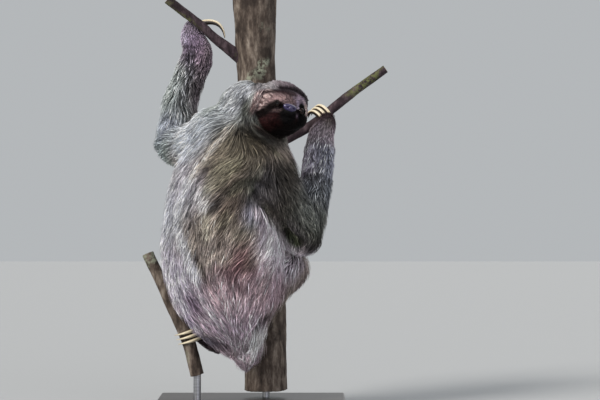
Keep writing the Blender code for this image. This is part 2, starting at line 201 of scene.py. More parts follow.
# The lie of the hair on the trunk and limbs: where, which way it runs, and how far that reaches.
LIE = (
    ((-16, -90, 480), (-0.55, 0.0, -0.85), 16),
    ((12, -96, 440), (0.75, 0.0, -0.60), 15),
    ((-45, -80, 470), (-0.85, 0.1, -0.50), 22),
    ((-100, -40, 455), (-0.70, 0.3, -0.70), 24),
    ((-85, -80, 420), (-0.50, 0.0, -0.85), 26),
    ((-30, -115, 432), (-0.25, 0.0, -1.00), 18),
    ((10, -112, 415), (0.15, 0.0, -1.00), 15),
    ((20, -112, 394), (-0.75, 0.0, -0.65), 14),
    ((-20, -125, 392), (-0.95, 0.0, -0.25), 18),
    ((-62, -122, 388), (-0.70, 0.0, -0.70), 20),
    ((-95, -100, 365), (-0.25, 0.0, -1.00), 25),
    ((-35, -130, 345), (-0.65, 0.0, -0.75), 22),
    ((25, -110, 350), (0.00, 0.0, -1.00), 20),
    ((60, -85, 350), (0.25, 0.0, -1.00), 22),
    ((85, -85, 300), (0.20, 0.0, -1.00), 25),
    ((-80, -125, 300), (-0.10, 0.0, -1.00), 26),
    ((-130, -60, 300), (0.00, 0.0, -1.00), 30),
    ((-15, -130, 300), (-0.62, 0.0, -0.78), 24),
    ((30, -110, 310), (-0.30, 0.0, -0.95), 18),
    ((-55, -130, 245), (0.05, 0.0, -1.00), 22),
    ((5, -125, 255), (-0.72, 0.0, -0.68), 20),
    ((45, -80, 250), (-0.75, -0.3, -0.55), 24),
    ((30, -80, 205), (-0.60, 0.0, -0.80), 22),
    ((-120, -60, 235), (0.10, 0.0, -1.00), 24),
    ((-100, -80, 195), (0.65, -0.2, -0.75), 22),
    ((-75, -85, 160), (0.68, -0.1, -0.72), 22),
    ((-20, -115, 190), (0.10, 0.0, -1.00), 22),
    ((-20, -95, 135), (0.15, 0.0, -1.00), 20),
    ((15, -80, 135), (-0.30, 0.0, -0.95), 16),
    ((-70, -108, 178), (0.62, 0.0, -0.78), 18),
    ((-48, -100, 148), (0.62, 0.0, -0.78), 16),
    ((10, -105, 180), (-0.42, 0.0, -0.90), 16),
    ((40, -90, 270), (-0.70, 0.0, -0.70), 14),
)
HANG = -0.02                # where no row reaches, the hair hangs down
LIMB_LIE = 2.5              # how strongly a limb's own direction tells
# Which way the hair runs along a limb: +1 towards its far end, -1 back up it.
ALONG = {
    "upper_arm_left": 1, "forearm_left": -1, "hand_left": -1,
    "upper_arm_right": 1, "forearm_right": -1, "hand_right": -1,
    "thigh_left": 0, "shank_left": 1, "foot_left": 1,
    "thigh_right": 0, "shank_right": 0.6, "foot_right": 1,
    "torso": 0, "neck": 0, "tail": 1, "head": 0,
}

# The coat's colours: what it is, its middle, how far it reaches, and its hex value.
# Some washes are painted light or painted shade, as marked at each.
WASHES = (
    ("mauve back of the left hand", (-95, 45, 592), 16, "#9a87a0"),
    # Painted highlight: pale lilac on the edge of the left hand that faces the light.
    ("painted highlight on the edge of the left hand", (-112, 56, 597), 9, "#d3c3e0"),
    ("grey far side of the left hand", (-94, 90, 592), 18, "#8f8a8c"),
    ("grey far side of the left forearm", (-104, 92, 540), 22, "#969b98"),
    ("dusky inner left wrist", (-72, 50, 568), 12, "#a78f9f"),
    ("dark inner left wrist", (-72, 45, 545), 14, "#6e6068"),
    ("mauve inner left forearm", (-84, 44, 505), 13, "#6a5b62"),
    ("silver outer left forearm", (-134, 42, 505), 20, "#a2a9a8"),
    ("left elbow", (-146, 40, 415), 22, "#8f9a9c"),
    # Pale fur with painted light from the left on the shoulder.
    ("pale left shoulder with painted light", (-102, -62, 434), 20, "#dde4f0"),
    ("lilac left arm", (-142, 26, 447), 13, "#b4b8c8"),
    ("top of the shoulders", (-60, -60, 470), 20, "#a2a8aa"),
    ("pale nape", (-20, -80, 486), 16, "#acaeb3"),
    # Brown throat hair, darkened to near black as painted shade under the head.
    ("olive throat side in painted shade", (5, -100, 430), 15, "#241f13"),
    ("olive upper back", (-25, -115, 412), 18, "#7d7566"),
    ("brown whorl", (0, -120, 392), 15, "#4e473d"),
    ("tan back", (-55, -125, 370), 20, "#867c70"),
    ("lilac side of the back", (-95, -100, 345), 18, "#d2ced9"),
    # Pale fur with painted light on the left flank, which faces the light.
    ("pale flank with painted light", (-130, -50, 310), 24, "#d3d8e4"),
    ("dark tan small of the back", (-35, -130, 335), 17, "#574b44"),
    # Darker fur of the right back, with painted shade on the side away from the light.
    ("slate right back in painted shade", (20, -115, 352), 15, "#505057"),
    ("painted shade on the dark right back", (55, -95, 360), 17, "#242320"),
    # Slate fur with a painted blue-grey highlight on the point of the hip.
    ("slate point of the hip with painted highlight", (8, -119, 312), 9, "#8c8c9c"),
    # Painted shade: near black in the hollow by the elbow.
    ("painted shade in the hollow by the elbow", (66, -84, 278), 10, "#0d090b"),
    # Dark olive fur of the right upper arm, deepened with painted shade behind the hip.
    ("dark olive upper arm in painted shade", (62, -92, 318), 12, "#211f1a"),
    ("pale point of the hip", (44, -92, 270), 12, "#fcf5fb"),
    ("moss grey right upper arm", (98, -80, 318), 18, "#666a66"),
    ("right elbow", (95, -70, 262), 18, "#24281e"),
    ("tan mid back", (-70, -125, 290), 18, "#9c9288"),
    ("cream tufts of the loin", (-60, -130, 250), 16, "#9a8e8b"),
    # Pale fur with painted light on the left haunch and its edge, which face the light.
    ("lilac left haunch with painted light", (-125, -50, 235), 20, "#ece4fa"),
    ("white edge of the left haunch with painted light", (-112, -96, 208), 13, "#f0e8fa"),
    ("dark flecked left haunch", (-88, -104, 180), 12, "#8a7b8c"),
    ("reddish saddle", (-10, -125, 236), 13, "#715456"),
    ("pale right hip", (40, -92, 250), 16, "#eadee8"),
    ("mauve right haunch", (28, -95, 205), 18, "#b89fa9"),
    ("mauve loin", (-30, -110, 190), 18, "#cab2b9"),
    ("mauve rump", (-25, -90, 140), 18, "#ceb8c8"),
    ("rump tip", (-8, -70, 92), 14, "#cab5c1"),
    ("greenish tail side", (10, -72, 112), 9, "#f4f4ee"),
    ("mauve left foot", (-92, -40, 140), 14, "#eaddf4"),
    # Painted shade: near black in the hollow behind the tail.
    ("painted shade in the hollow behind the tail", (-54, 4, 118), 12, "#120c0f"),
    ("pale left heel", (-66, 6, 97), 8, "#5c4c56"),
    ("reddish right fingers", (118, 15, 463), 9, "#2c181b"),
    ("mauve right wrist", (114, 0, 443), 10, "#c5b4bf"),
    ("mauve inner right forearm", (86, -14, 396), 12, "#efe4f4"),
    ("slate right forearm", (114, -20, 396), 14, "#b0b3c2"),
    ("moss slate right forearm", (112, -34, 352), 18, "#5f646a"),
    ("belly", (-35, 20, 300), 60, "#8b8078"),
    ("inner right leg", (55, 60, 215), 26, "#8a7a7c"),
    ("right knee", (70, -50, 248), 14, "#f6e8f6"),
    ("nape under the hood", (25, -20, 470), 22, "#7c7a72"),
)
BASE_COLOUR = "#8b8078"
BASE_WEIGHT = 1e-5          # the base colour's share, which tells only far from every wash
WASH_SPREAD = 1.15

# Folds and ridges of the coat: what each is, its colour, how strongly it is tinted, how far it
# stands out (or in, below zero), its half-width, and a line of places along it.
# Many of these tints are painted shade or painted light, as marked at each.
FOLDS = (
    # Painted shade: near black down the fold between the right arm and the hip.
    ("painted shade in the fold between the right arm and the hip", "#0c080a", 0.97, -9, 6.5,
     ((4, -119, 336), (20, -113, 330), (35, -103, 317), (51, -87, 295), (64, -83, 280),
      (76, -82, 264), (64, -72, 280), (51, -76, 294), (41, -86, 304), (29, -98, 320),
      (19, -104, 334), (9, -106, 348))),
    # Painted shade: black in the hollow between the elbow and the hip.
    ("painted shade in the hollow between the elbow and the hip", "#030102", 1.0, -3, 9,
     ((48, -77, 292), (56, -71, 285), (65, -72, 275), (75, -77, 268), (73, -67, 268),
      (64, -62, 276), (57, -64, 284))),
    ("edge of the right hip", "#dccfda", 0.92, 5, 6.5,
     ((11, -117, 315), (29, -107, 299), (40, -95, 279), (47, -82, 260), (54, -60, 242),
      (57, -59, 219))),
    # Painted shade in the furrow behind the left shoulder.
    ("painted shade in the furrow behind the left shoulder", "#3a2f28", 0.8, -4, 4.5,
     ((-40, -100, 447), (-57, -103, 428), (-71, -103, 413), (-75, -105, 398))),
    ("pale ridge across the left shoulder", "#ddd4ca", 0.85, 4, 4.5,
     ((-33, -103, 442), (-52, -107, 419), (-69, -109, 396), (-87, -106, 373), (-100, -104, 350))),
    # White fur with painted light along the ridge of the left flank, which faces the light.
    ("white ridge of the left flank with painted light", "#f4f5ff", 0.85, 4, 7,
     ((-97, -104, 359), (-108, -102, 330), (-114, -101, 298), (-102, -111, 268), (-92, -116, 239),
      (-81, -116, 212))),
    # Painted shade in the purple furrow of the left flank.
    ("painted shade in the purple furrow of the left flank", "#43364a", 0.75, -4, 4.5,
     ((-67, -115, 378), (-76, -115, 361), (-87, -113, 343), (-93, -113, 317), (-90, -118, 292),
      (-82, -121, 274))),
    # Painted shade in the furrow above the sweep.
    ("painted shade in the furrow above the sweep", "#463339", 0.7, -3, 5,
     ((-81, -120, 241), (-71, -121, 219), (-62, -119, 198))),
    ("green grey band of the back", "#a8a594", 0.5, 1, 6,
     ((-67, -120, 350), (-68, -123, 327), (-67, -125, 305), (-64, -127, 277))),
    ("brown band of the back", "#40332c", 0.65, -2, 6,
     ((-44, -126, 330), (-41, -128, 302), (-44, -129, 267))),
    # Dark hair with painted shade beneath the lip of the whorl.
    ("dark hair with painted shade under the whorl", "#3b322a", 0.6, -4, 9,
     ((-53, -126, 322), (-38, -125, 338), (-17, -122, 355), (7, -116, 358), (29, -106, 350))),
    ("lip of the whorl", "#857d70", 0.5, 4, 6,
     ((-56, -118, 378), (-35, -118, 390), (-11, -115, 396), (13, -109, 393))),
    ("shadow under the chin", "#2e281d", 0.85, -5, 9,
     ((-8, -102, 442), (8, -102, 426), (28, -95, 417), (50, -74, 416), (66, -60, 420))),
    ("cream tufts", "#c9bcb0", 0.6, 3, 8, ((-70, -122, 240), (-53, -128, 250), (-36, -127, 242))),
    ("pale tail side", "#f6f7f1", 0.9, 2, 5.5,
     ((8, -83, 128), (8, -75, 112), (7, -68, 100), (4, -62, 88))),
    # Painted shadow: near black in the notch beside the tail.
    ("painted shadow in the notch beside the tail", "#080406", 0.98, -7, 8,
     ((13, -84, 146), (27, -82, 144), (38, -78, 146), (30, -69, 145), (21, -73, 142),
      (14, -76, 143))),
    # Painted shade in the crease of the left wrist.
    ("painted shade in the crease of the left wrist", "#4a404e", 0.7, -1.5, 4,
     ((-114, 58, 579), (-100, 43, 580), (-86, 44, 577))),
    ("dark flecked strip of the left forearm", "#3a393f", 0.7, 0, 8,
     ((-98, 41, 566), (-98, 34, 534), (-108, 30, 504), (-117, 27, 480))),
    ("dark flecked patch of the left haunch", "#4c3d4b", 0.65, -1, 7,
     ((-99, -96, 180), (-84, -100, 176), (-74, -104, 166))),
    ("mauve back of the left foot", "#b3a1c2", 0.85, 0, 7,
     ((-95, -81, 153), (-93, -66, 141), (-86, -53, 131))),
    ("dark flecked patch of the left foot", "#241922", 0.85, -2, 5,
     ((-88, -60, 127), (-72, -80, 126), (-58, -87, 123))),
    # Painted shade: near black in the hollow left of the tail.
    ("painted shade in the hollow left of the tail", "#060204", 0.98, -5, 9,
     ((-70, -52, 114), (-59, -70, 114), (-48, -75, 110), (-37, -74, 103), (-37, -62, 103),
      (-48, -60, 109), (-58, -50, 113))),
    ("pale sole of the left foot", "#a896a4", 0.7, 0, 3,
     ((-74, -10, 97), (-57, -45, 94), (-44, -60, 90))),
    # Pale fur with painted light along the left haunch's edge, which faces the light.
    ("pale edge of the left haunch with painted light", "#efe8fa", 0.7, 2, 9,
     ((-132, -60, 285), (-134, -62, 239), (-124, -76, 205), (-110, -80, 178), (-100, -86, 166))),
    ("pale sweep to the tail", "#dccfd8", 0.6, 3, 7,
     ((-87, -115, 207), (-72, -115, 183), (-57, -112, 161), (-42, -104, 139), (-27, -87, 117),
      (-15, -74, 97))),
    ("reddish hair of the saddle", "#5f4245", 0.4, 0, 10,
     ((-28, -124, 222), (-8, -122, 238), (8, -116, 226))),
    ("dusky hair under the saddle", "#6a5156", 0.72, -2, 9,
     ((-47, -126, 226), (-36, -125, 227), (-26, -123, 212), (-12, -120, 198))),
    # Painted highlight: pale lilac on the back of the left hand.
    ("painted highlight on the back of the left hand", "#e9dcf6", 0.75, 0, 5, ((-111, 56, 601), (-107, 48, 590))),
    # Painted shade in the crease under the left wrist.
    ("painted shade in the crease under the left wrist", "#5a4a58", 0.6, -1, 2.5, ((-83, 45, 573), (-69, 59, 570))),
    # Dark hair with painted shade behind the cheek, at the face's edge.
    ("dark hair with painted shade behind the cheek", "#191615", 0.82, -2.5, 7,
     ((-6, -87, 488), (-8, -89, 472), (-6, -87, 456), (2, -87, 441), (14, -86, 434))),
    ("dark hair over the brow", "#24171a", 0.5, 0, 4,
     ((24, -87, 507), (41, -98, 502), (62, -98, 496))),
    ("dark spot of the mid back", "#1d1816", 0.8, -2, 6,
     ((-20, -123, 338), (-13, -122, 334), (-6, -120, 331))),
    ("pale hair left of the back", "#f2eff1", 0.75, 2, 7.5,
     ((-82, -111, 346), (-75, -118, 335), (-70, -124, 322))),
    ("lilac hair beside the hip's edge", "#a094a2", 0.6, 0, 7,
     ((16, -111, 317), (20, -110, 295), (20, -110, 270))),
    ("shaded inside of the right forearm", "#1f1c1b", 0.75, 0, 6,
     ((63, -58, 404), (67, -60, 393), (70, -60, 380))),
    ("pale band behind the nape", "#dcdfe0", 0.6, 2, 6,
     ((-18, -78, 502), (-26, -84, 488), (-40, -84, 482))),
    # Painted shade in the crook under the right forearm.
    ("painted shade in the crook under the right forearm", "#1f1926", 0.75, -2, 5,
     ((79, -2, 374), (86, -16, 372), (94, -29, 372))),
    ("dark elbow of the right arm", "#17110f", 0.7, 0, 8,
     ((78, -80, 268), (90, -68, 258), (104, -62, 262))),
    ("mauve strip inside the right forearm", "#cdbfd0", 0.7, 0, 4.5,
     ((84, 8, 412), (82, 2, 396), (80, -8, 372))),
)
SKIN_FOLD = 1.25            # a fold is this much wider in the skin than in the coat
FOLD_LIFT = 0.11            # share of its height that the hair rises for each mm of a fold

# Where single pale hairs show against dark ones: how far that reaches, and a line of places.
FLECKS = (
    (12, ((-98, 41, 566), (-98, 34, 534), (-109, 30, 502), (-117, 27, 481))),
    (14, ((112, -8, 426), (109, -14, 410), (112, -24, 390), (101, -38, 366))),
    (10, ((-97, -98, 182), (-81, -108, 182), (-68, -109, 167))),
    (7, ((-86, -62, 127), (-72, -80, 126), (-56, -87, 123))),
)

def srgb(code, alpha=1.0):
    """A hex colour as linear red, green, blue and alpha."""
    values = [int(code[i:i + 2], 16) / 255 for i in (1, 3, 5)]
    linear = [v / 12.92 if v <= 0.04045 else ((v + 0.055) / 1.055) ** 2.4 for v in values]
    return (*linear, alpha)


def smooth_rows(rows, steps):
    """Rows of numbers on a Catmull-Rom curve through the given rows."""
    rows = np.array(rows, float)
    padded = np.vstack((2 * rows[0] - rows[1], rows, 2 * rows[-1] - rows[-2]))
    made = []
    for i in range(len(rows) - 1):
        before, start, end, after = padded[i:i + 4]
        for t in np.arange(steps) / steps:
            made.append(0.5 * (2 * start + (end - before) * t
                               + (2 * before - 5 * start + 4 * end - after) * t ** 2
                               + (3 * start - before - 3 * end + after) * t ** 3))
    return np.array(made + [rows[-1]])


def step(low, high, values):
    """A smooth rise from 0 at low to 1 at high."""
    t = np.clip((values - low) / (high - low), 0, 1)
    return t * t * (3 - 2 * t)


def unit(vectors):
    """Each vector brought to length 1."""
    return vectors / np.maximum(np.linalg.norm(vectors, axis=-1, keepdims=True), TINY)


def mottle(points, size, seed):
    """Soft random patches of about that size, from -1 to 1, at each point."""
    rng = np.random.default_rng(seed)
    total = np.zeros(len(points))
    waves = 7
    for _ in range(waves):
        direction = rng.normal(size=3)
        direction *= 2 * math.pi / (size * MM * rng.uniform(0.7, 1.6) * np.linalg.norm(direction))
        total += np.sin(points @ direction + rng.uniform(0, 2 * math.pi))
    return total / math.sqrt(waves / 2) / 2


def nearness(local, place, reach):
    """How near each point is to a place: 1 on it, fading softly over the reach."""
    return np.exp(-((local - np.array(place)) ** 2).sum(1) / (2 * reach ** 2))


def line_share(local, line, reach):
    """How near each point is to a line of places: 1 on it, fading over its half-width."""
    nearest = np.full(len(local), np.inf)
    for a, b in zip(np.array(line, float), np.array(line[1:], float)):
        span = b - a
        t = np.clip((local - a) @ span / (span @ span), 0, 1)
        nearest = np.minimum(nearest, np.linalg.norm(local - a - t[:, None] * span, axis=1))
    return step(1.7 * reach, 0.4 * reach, nearest)


def to_head(points):
    """Row-frame points, in metres, in the head's own frame, in millimetres."""
    return (points / MM - np.array(HEAD_CENTRE)) @ np.array(HEAD_TURN)


def from_head(local):
    """The head's own points, in millimetres, in the row frame, in metres."""
    return (local @ np.array(HEAD_TURN).T + np.array(HEAD_CENTRE)) * MM


# ---- Materials ----


def add(tree, kind, settings=(), links=()):
    """Adds a node with its settings and links, each by socket or property name, or by number.

    A link comes from a socket, or from a node's first one.
    """
    node = tree.nodes.new("ShaderNode" + kind)
    for key, value in dict(settings).items():
        if key == "stops":
            ramp = node.color_ramp
            while len(ramp.elements) < len(value):
                ramp.elements.new(0.5)
            for element, (place, colour) in zip(ramp.elements, value):
                element.position, element.color = place, srgb(colour)
        elif isinstance(key, int) or key in node.inputs:
            node.inputs[key].default_value = value
        else:
            setattr(node, key, value)
    for key, source in dict(links).items():
        tree.links.new(getattr(source, "outputs", (source,))[0], node.inputs[key])
    return node


def new_material(name, settings):
    """A named material and its node tree."""
    material = bpy.data.materials.new(name)
    material.use_nodes = True
    tree = material.node_tree
    for key, value in settings.items():
        tree.nodes["Principled BSDF"].inputs[key].default_value = value
    return material, tree


def object_place(tree):
    """The place of each point on the object."""
    return add(tree, "TexCoord").outputs["Object"]


def surface(tree, colour, height=None, strength=0.0, distance=0.0):
    """Gives the material its colour and, where there is a height, its bump."""
    shader = tree.nodes["Principled BSDF"]
    tree.links.new(colour, shader.inputs["Base Color"])
    if height:
        bump = add(tree, "Bump", {"Strength": strength, "Distance": distance}, {"Height": height})
        tree.links.new(bump.outputs["Normal"], shader.inputs["Normal"])


def tinted(tree, height, low, high):
    """The coat's own colour, from dark to light by a height."""
    colour = add(tree, "Attribute", {"attribute_name": "coat_colour"})
    light = add(tree, "MapRange", {1: 0.3, 2: 0.7, 3: low, 4: high}, {0: height})
    made = add(tree, "VectorMath", {"operation": "SCALE"}, {0: colour, "Scale": light})
    return made.outputs["Vector"]


def hair_material(name, roughness, streaks, sheen):
    """Coarse dry hair: dull, darker at the roots and streaked along each lock by its own hairs."""
    material, tree = new_material(name, {
        "Roughness": roughness, "Specular IOR Level": 0.12,
        "Sheen Weight": sheen, "Sheen Roughness": 0.5,
    })
    strand = add(tree, "Attribute", {"attribute_name": "strand"}).outputs["Vector"]
    hairs = add(tree, "TexNoise", {"Scale": 1.0, "Detail": 2.0, "Roughness": 0.6},
                {"Vector": strand})
    surface(tree, tinted(tree, hairs, 1 - streaks, 1 + streaks), hairs, 0.5, 0.0003)
    return material


def skin_material():
    """Hide under short soft underfur: matt, with a fine nap of about 1 mm."""
    material, tree = new_material(
        "underfur on hide", {"Roughness": 0.7, "Specular IOR Level": 0.2})
    place = object_place(tree)
    nap = add(tree, "TexNoise", {"Scale": 900.0, "Detail": 3.0}, {"Vector": place})
    surface(tree, tinted(tree, nap, 0.7, 1.25), nap, 0.6, 0.0006)
    return material


def eye_material():
    """Wet dark eyes: a clear bright film over a nearly black iris."""
    material, tree = new_material(
        "wet dark eye", {"Roughness": 0.08, "Specular IOR Level": 0.2})
    turned = add(tree, "Attribute", {"attribute_name": "gaze"}).outputs["Fac"]
    iris = add(tree, "ValToRGB", {"stops": (
        (0.0, "#050303"), (0.42, "#0a0605"), (0.5, "#1f100a"), (0.85, "#140a07"), (1.0, "#080504"),
    )}, {"Fac": turned})
    surface(tree, iris.outputs["Color"])
    return material


def nose_material():
    """Bare damp leather with a pebbled grain of about 0.5 mm."""
    material, tree = new_material("damp nose leather", {
        "Roughness": 0.28, "Coat Weight": 0.6, "Coat Roughness": 0.22})
    place = object_place(tree)
    cells = add(tree, "TexVoronoi", {"Scale": 1400.0}, {"Vector": place})
    # Near black leather tinted violet-blue, partly a painted reflection of the sky on its damp top.
    tint = add(tree, "ValToRGB", {"stops": ((0.0, "#19132e"), (1.0, "#372c5e"))}, {"Fac": cells})
    surface(tree, tint.outputs["Color"], cells, 0.4, 0.0003)
    return material


def claw_material():
    """Grained horn: cream along the back of the curve, painted nearly black as shade on the inside
    of the curve.
    """
    material, tree = new_material(
        "claw horn with painted shade", {"Roughness": 0.35, "Specular IOR Level": 0.5})
    place = object_place(tree)
    # Painted shade: the inside of each curve is darkened nearly to black.
    under = add(tree, "Attribute", {"attribute_name": "underside"}).outputs["Fac"]
    grain = add(tree, "TexNoise", {"Scale": 420.0, "Detail": 3.0}, {"Vector": place})
    shift = add(tree, "Math", {"operation": "MULTIPLY_ADD", 1: 0.35, 2: -0.17}, {0: grain})
    total = add(tree, "Math", {"operation": "ADD"}, {0: under, 1: shift})
    tint = add(tree, "ValToRGB", {"stops": (
        (0.0, "#d8cdb2"), (0.45, "#b3a284"), (0.62, "#4a3b2c"), (1.0, "#17110d"),
    )}, {"Fac": total})
    surface(tree, tint.outputs["Color"])
    return material


def bark_material(name, stops, blotch, lichen, share, ridge):
    """Bark: fissured along its length, blotched dark, with flat crusts of lichen or moss."""
    material, tree = new_material(name, {"Roughness": 0.88, "Specular IOR Level": 0.2})
    place = object_place(tree)

    def patches(scale, detail, settings, where=place):
        return add(tree, "TexNoise", {"Scale": scale, "Detail": detail, **settings},
                   {"Vector": where})

    drawn = add(tree, "Mapping", {"Scale": (1.0, 1.0, 0.3)}, {"Vector": place})
    coarse = patches(90.0, 8.0, {"Roughness": 0.68}, drawn)
    tint = add(tree, "ValToRGB", {"stops": stops}, {"Fac": coarse})
    damp = patches(26.0, 6.0, {"Roughness": 0.6})
    dark = add(tree, "MapRange", {1: 0.50, 2: 0.64, 4: 0.85}, {0: damp})
    blotched = add(tree, "Mix", {"data_type": "RGBA", 7: srgb(blotch)}, {0: dark, 6: tint})
    spread = patches(16.0, 4.0, {"Distortion": 0.4})
    broad = add(tree, "MapRange", {1: share, 2: share + 0.10}, {0: spread})
    crumbs = patches(150.0, 6.0, {"Roughness": 0.7})
    fine = add(tree, "MapRange", {1: 0.44, 2: 0.56, 4: 0.9}, {0: crumbs})
    cover = add(tree, "Math", {"operation": "MULTIPLY"}, {0: broad, 1: fine})
    mix = add(tree, "Mix", {"data_type": "RGBA", 7: srgb(lichen)},
              {0: cover, 6: blotched.outputs[2]})
    rough = add(tree, "Math", {"operation": "MULTIPLY_ADD", 1: 0.4}, {0: crumbs, 2: coarse})
    surface(tree, mix.outputs[2], rough, 1.0, ridge)
    return material


def cut_material():
    """A sawn end gone grey: close growth rings around a darker heart."""
    material, tree = new_material(
        "weathered sawn wood", {"Roughness": 0.8, "Specular IOR Level": 0.2})
    place = object_place(tree)
    ring = add(tree, "Attribute", {"attribute_name": "ring"}).outputs["Fac"]
    wobble = add(tree, "TexNoise", {"Scale": 120.0, "Detail": 3.0}, {"Vector": place})
    bent = add(tree, "Math", {"operation": "MULTIPLY_ADD", 1: 0.12}, {0: wobble, 2: ring})
    turns = add(tree, "Math", {"operation": "MULTIPLY", 1: 70.0}, {0: bent})
    wave = add(tree, "Math", {"operation": "SINE"}, {0: turns})
    level = add(tree, "MapRange", {1: -1.0, 2: 1.0}, {0: wave})
    rings = add(tree, "ValToRGB", {"stops": ((0.0, "#6f5b45"), (1.0, "#a38d6f"))}, {"Fac": level})
    rim = add(tree, "MapRange", {1: 0.90, 2: 0.94}, {0: ring})
    mix = add(tree, "Mix", {"data_type": "RGBA", 7: srgb("#2e2622")}, {0: rim, 6: rings})
    surface(tree, mix.outputs[2])
    return material


def board_material():
    """Dark stained hardwood under a thin satin varnish, its grain drawn out along the board."""
    material, tree = new_material("dark stained hardwood", {
        "Roughness": 0.42, "Coat Weight": 0.15, "Coat Roughness": 0.3})
    place = object_place(tree)
    drawn = add(tree, "Mapping", {"Scale": (1.0, 14.0, 14.0)}, {"Vector": place})
    grain = add(tree, "TexNoise", {"Scale": 9.0, "Detail": 6.0, "Distortion": 0.6},
                {"Vector": drawn})
    tint = add(tree, "ValToRGB", {"stops": (
        (0.3, "#1b1512"), (0.55, "#2e231c"), (0.75, "#413228"),
    )}, {"Fac": grain})
    surface(tree, tint.outputs["Color"], grain, 0.25, 0.0004)
    return material


def steel_material():
    """Plain bright steel, with the fine lines of brushing round each rod."""
    material, tree = new_material("brushed steel", {"Metallic": 1.0, "Roughness": 0.32})
    place = object_place(tree)
    drawn = add(tree, "Mapping", {"Scale": (40.0, 40.0, 1500.0)}, {"Vector": place})
    lines = add(tree, "TexNoise", {"Scale": 1.0, "Detail": 3.0}, {"Vector": drawn})
    tint = add(tree, "ValToRGB", {"stops": ((0.3, "#8c8d90"), (0.7, "#b9babd"))}, {"Fac": lines})
    surface(tree, tint.outputs["Color"])
    return material


# ---- Mesh helpers ----


def linked(name, data):
    """A new object in the scene."""
    obj = bpy.data.objects.new(name, data)
    bpy.context.scene.collection.objects.link(obj)
    return obj


def mesh_of(bm, name, materials=()):
    """The bmesh as a mesh with its materials."""
    mesh = bpy.data.meshes.new(name)
    bm.to_mesh(mesh)
    bm.free()
    for material in materials:
        mesh.materials.append(material)
    return mesh


def piece_of(bm, name, materials, replaces):
    """The bmesh as a finished piece that rides on the root body."""
    mesh = mesh_of(bm, name, materials)
    mesh.shade_smooth()
    obj = linked(name, mesh)
    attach(obj, "root")
    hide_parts(*replaces)
    return obj


def set_values(mesh, name, kind, key, values):
    """Gives each vertex its value of a named attribute."""
    layer = mesh.attributes.new(name, kind, "POINT")
    layer.data.foreach_set(key, np.asarray(values, np.float32).ravel())


def points_of(bm):
    """The places of all the vertices."""
    return np.array([v.co for v in bm.verts])


def tube(bm, rows, sides, flatness=1.0, up=Vector((0, 0, 1))):
    """A closed tube through rows of x, y, z and radius, in mm, squeezed across by flatness."""
    rows = np.array(rows, float)
    places = [Vector(row[:3]) for row in rows]
    frames = []
    for i, place in enumerate(places):
        along = (places[min(i + 1, len(places) - 1)] - places[max(i - 1, 0)]).normalized()
        side = along.cross(up).normalized()
        rise = side.cross(along)
        radius = rows[i][3] * MM
        turn = Matrix((side * flatness * radius, rise * radius, along * radius)).transposed()
        frames.append(Matrix.Translation(place * MM) @ turn.to_4x4())
    ring = bmesh.ops.create_circle(
        bm, cap_ends=True, segments=sides, radius=1.0, matrix=frames[0])["verts"]
    edges = [e for e in bm.edges if all(v in ring for v in e.verts)]
    for before, after in zip(frames, frames[1:]):
        grown = bmesh.ops.extrude_edge_only(bm, edges=edges)["geom"]
        ring = [g for g in grown if isinstance(g, bmesh.types.BMVert)]
        edges = [g for g in grown if isinstance(g, bmesh.types.BMEdge)]
        bmesh.ops.transform(bm, matrix=after @ before.inverted(), verts=ring)
    bmesh.ops.contextual_create(bm, geom=edges)
    bmesh.ops.recalc_face_normals(bm, faces=bm.faces)


def modified(bm, steps):
    """The bmesh after a row of modifiers, each a kind and its settings."""
    mesh = mesh_of(bm, "work")
    obj = linked("work", mesh)
    for kind, settings in steps:
        modifier = obj.modifiers.new(kind.lower(), kind)
        for key, value in settings.items():
            setattr(modifier, key, value)
    graph = bpy.context.evaluated_depsgraph_get()
    made = bmesh.new()
    made.from_mesh(obj.evaluated_get(graph).to_mesh())
    bpy.data.objects.remove(obj)
    bpy.data.meshes.remove(mesh)
    return made


# ---- The skin ----


def smooth_least(a, b, reach):
    """The smaller of two distances, rounded where they cross."""
    h = np.clip(0.5 + 0.5 * (b - a) / reach, 0, 1)
    return b + (a - b) * h - reach * h * (1 - h)


def ball_distance(local, centre, axes):
    """About how far each point is outside an ellipsoid, in millimetres."""
    q = local - np.array(centre)
    axes = np.array(axes)
    k0 = np.linalg.norm(q / axes, axis=1)
    k1 = np.linalg.norm(q / axes ** 2, axis=1)
    return k0 * (k0 - 1) / np.maximum(k1, 1e-6)


def mouth_height(x):
    """Where the mouth's line runs: level in the middle, curled up at the corners."""
    return -19.5 + 0.018 * x ** 2


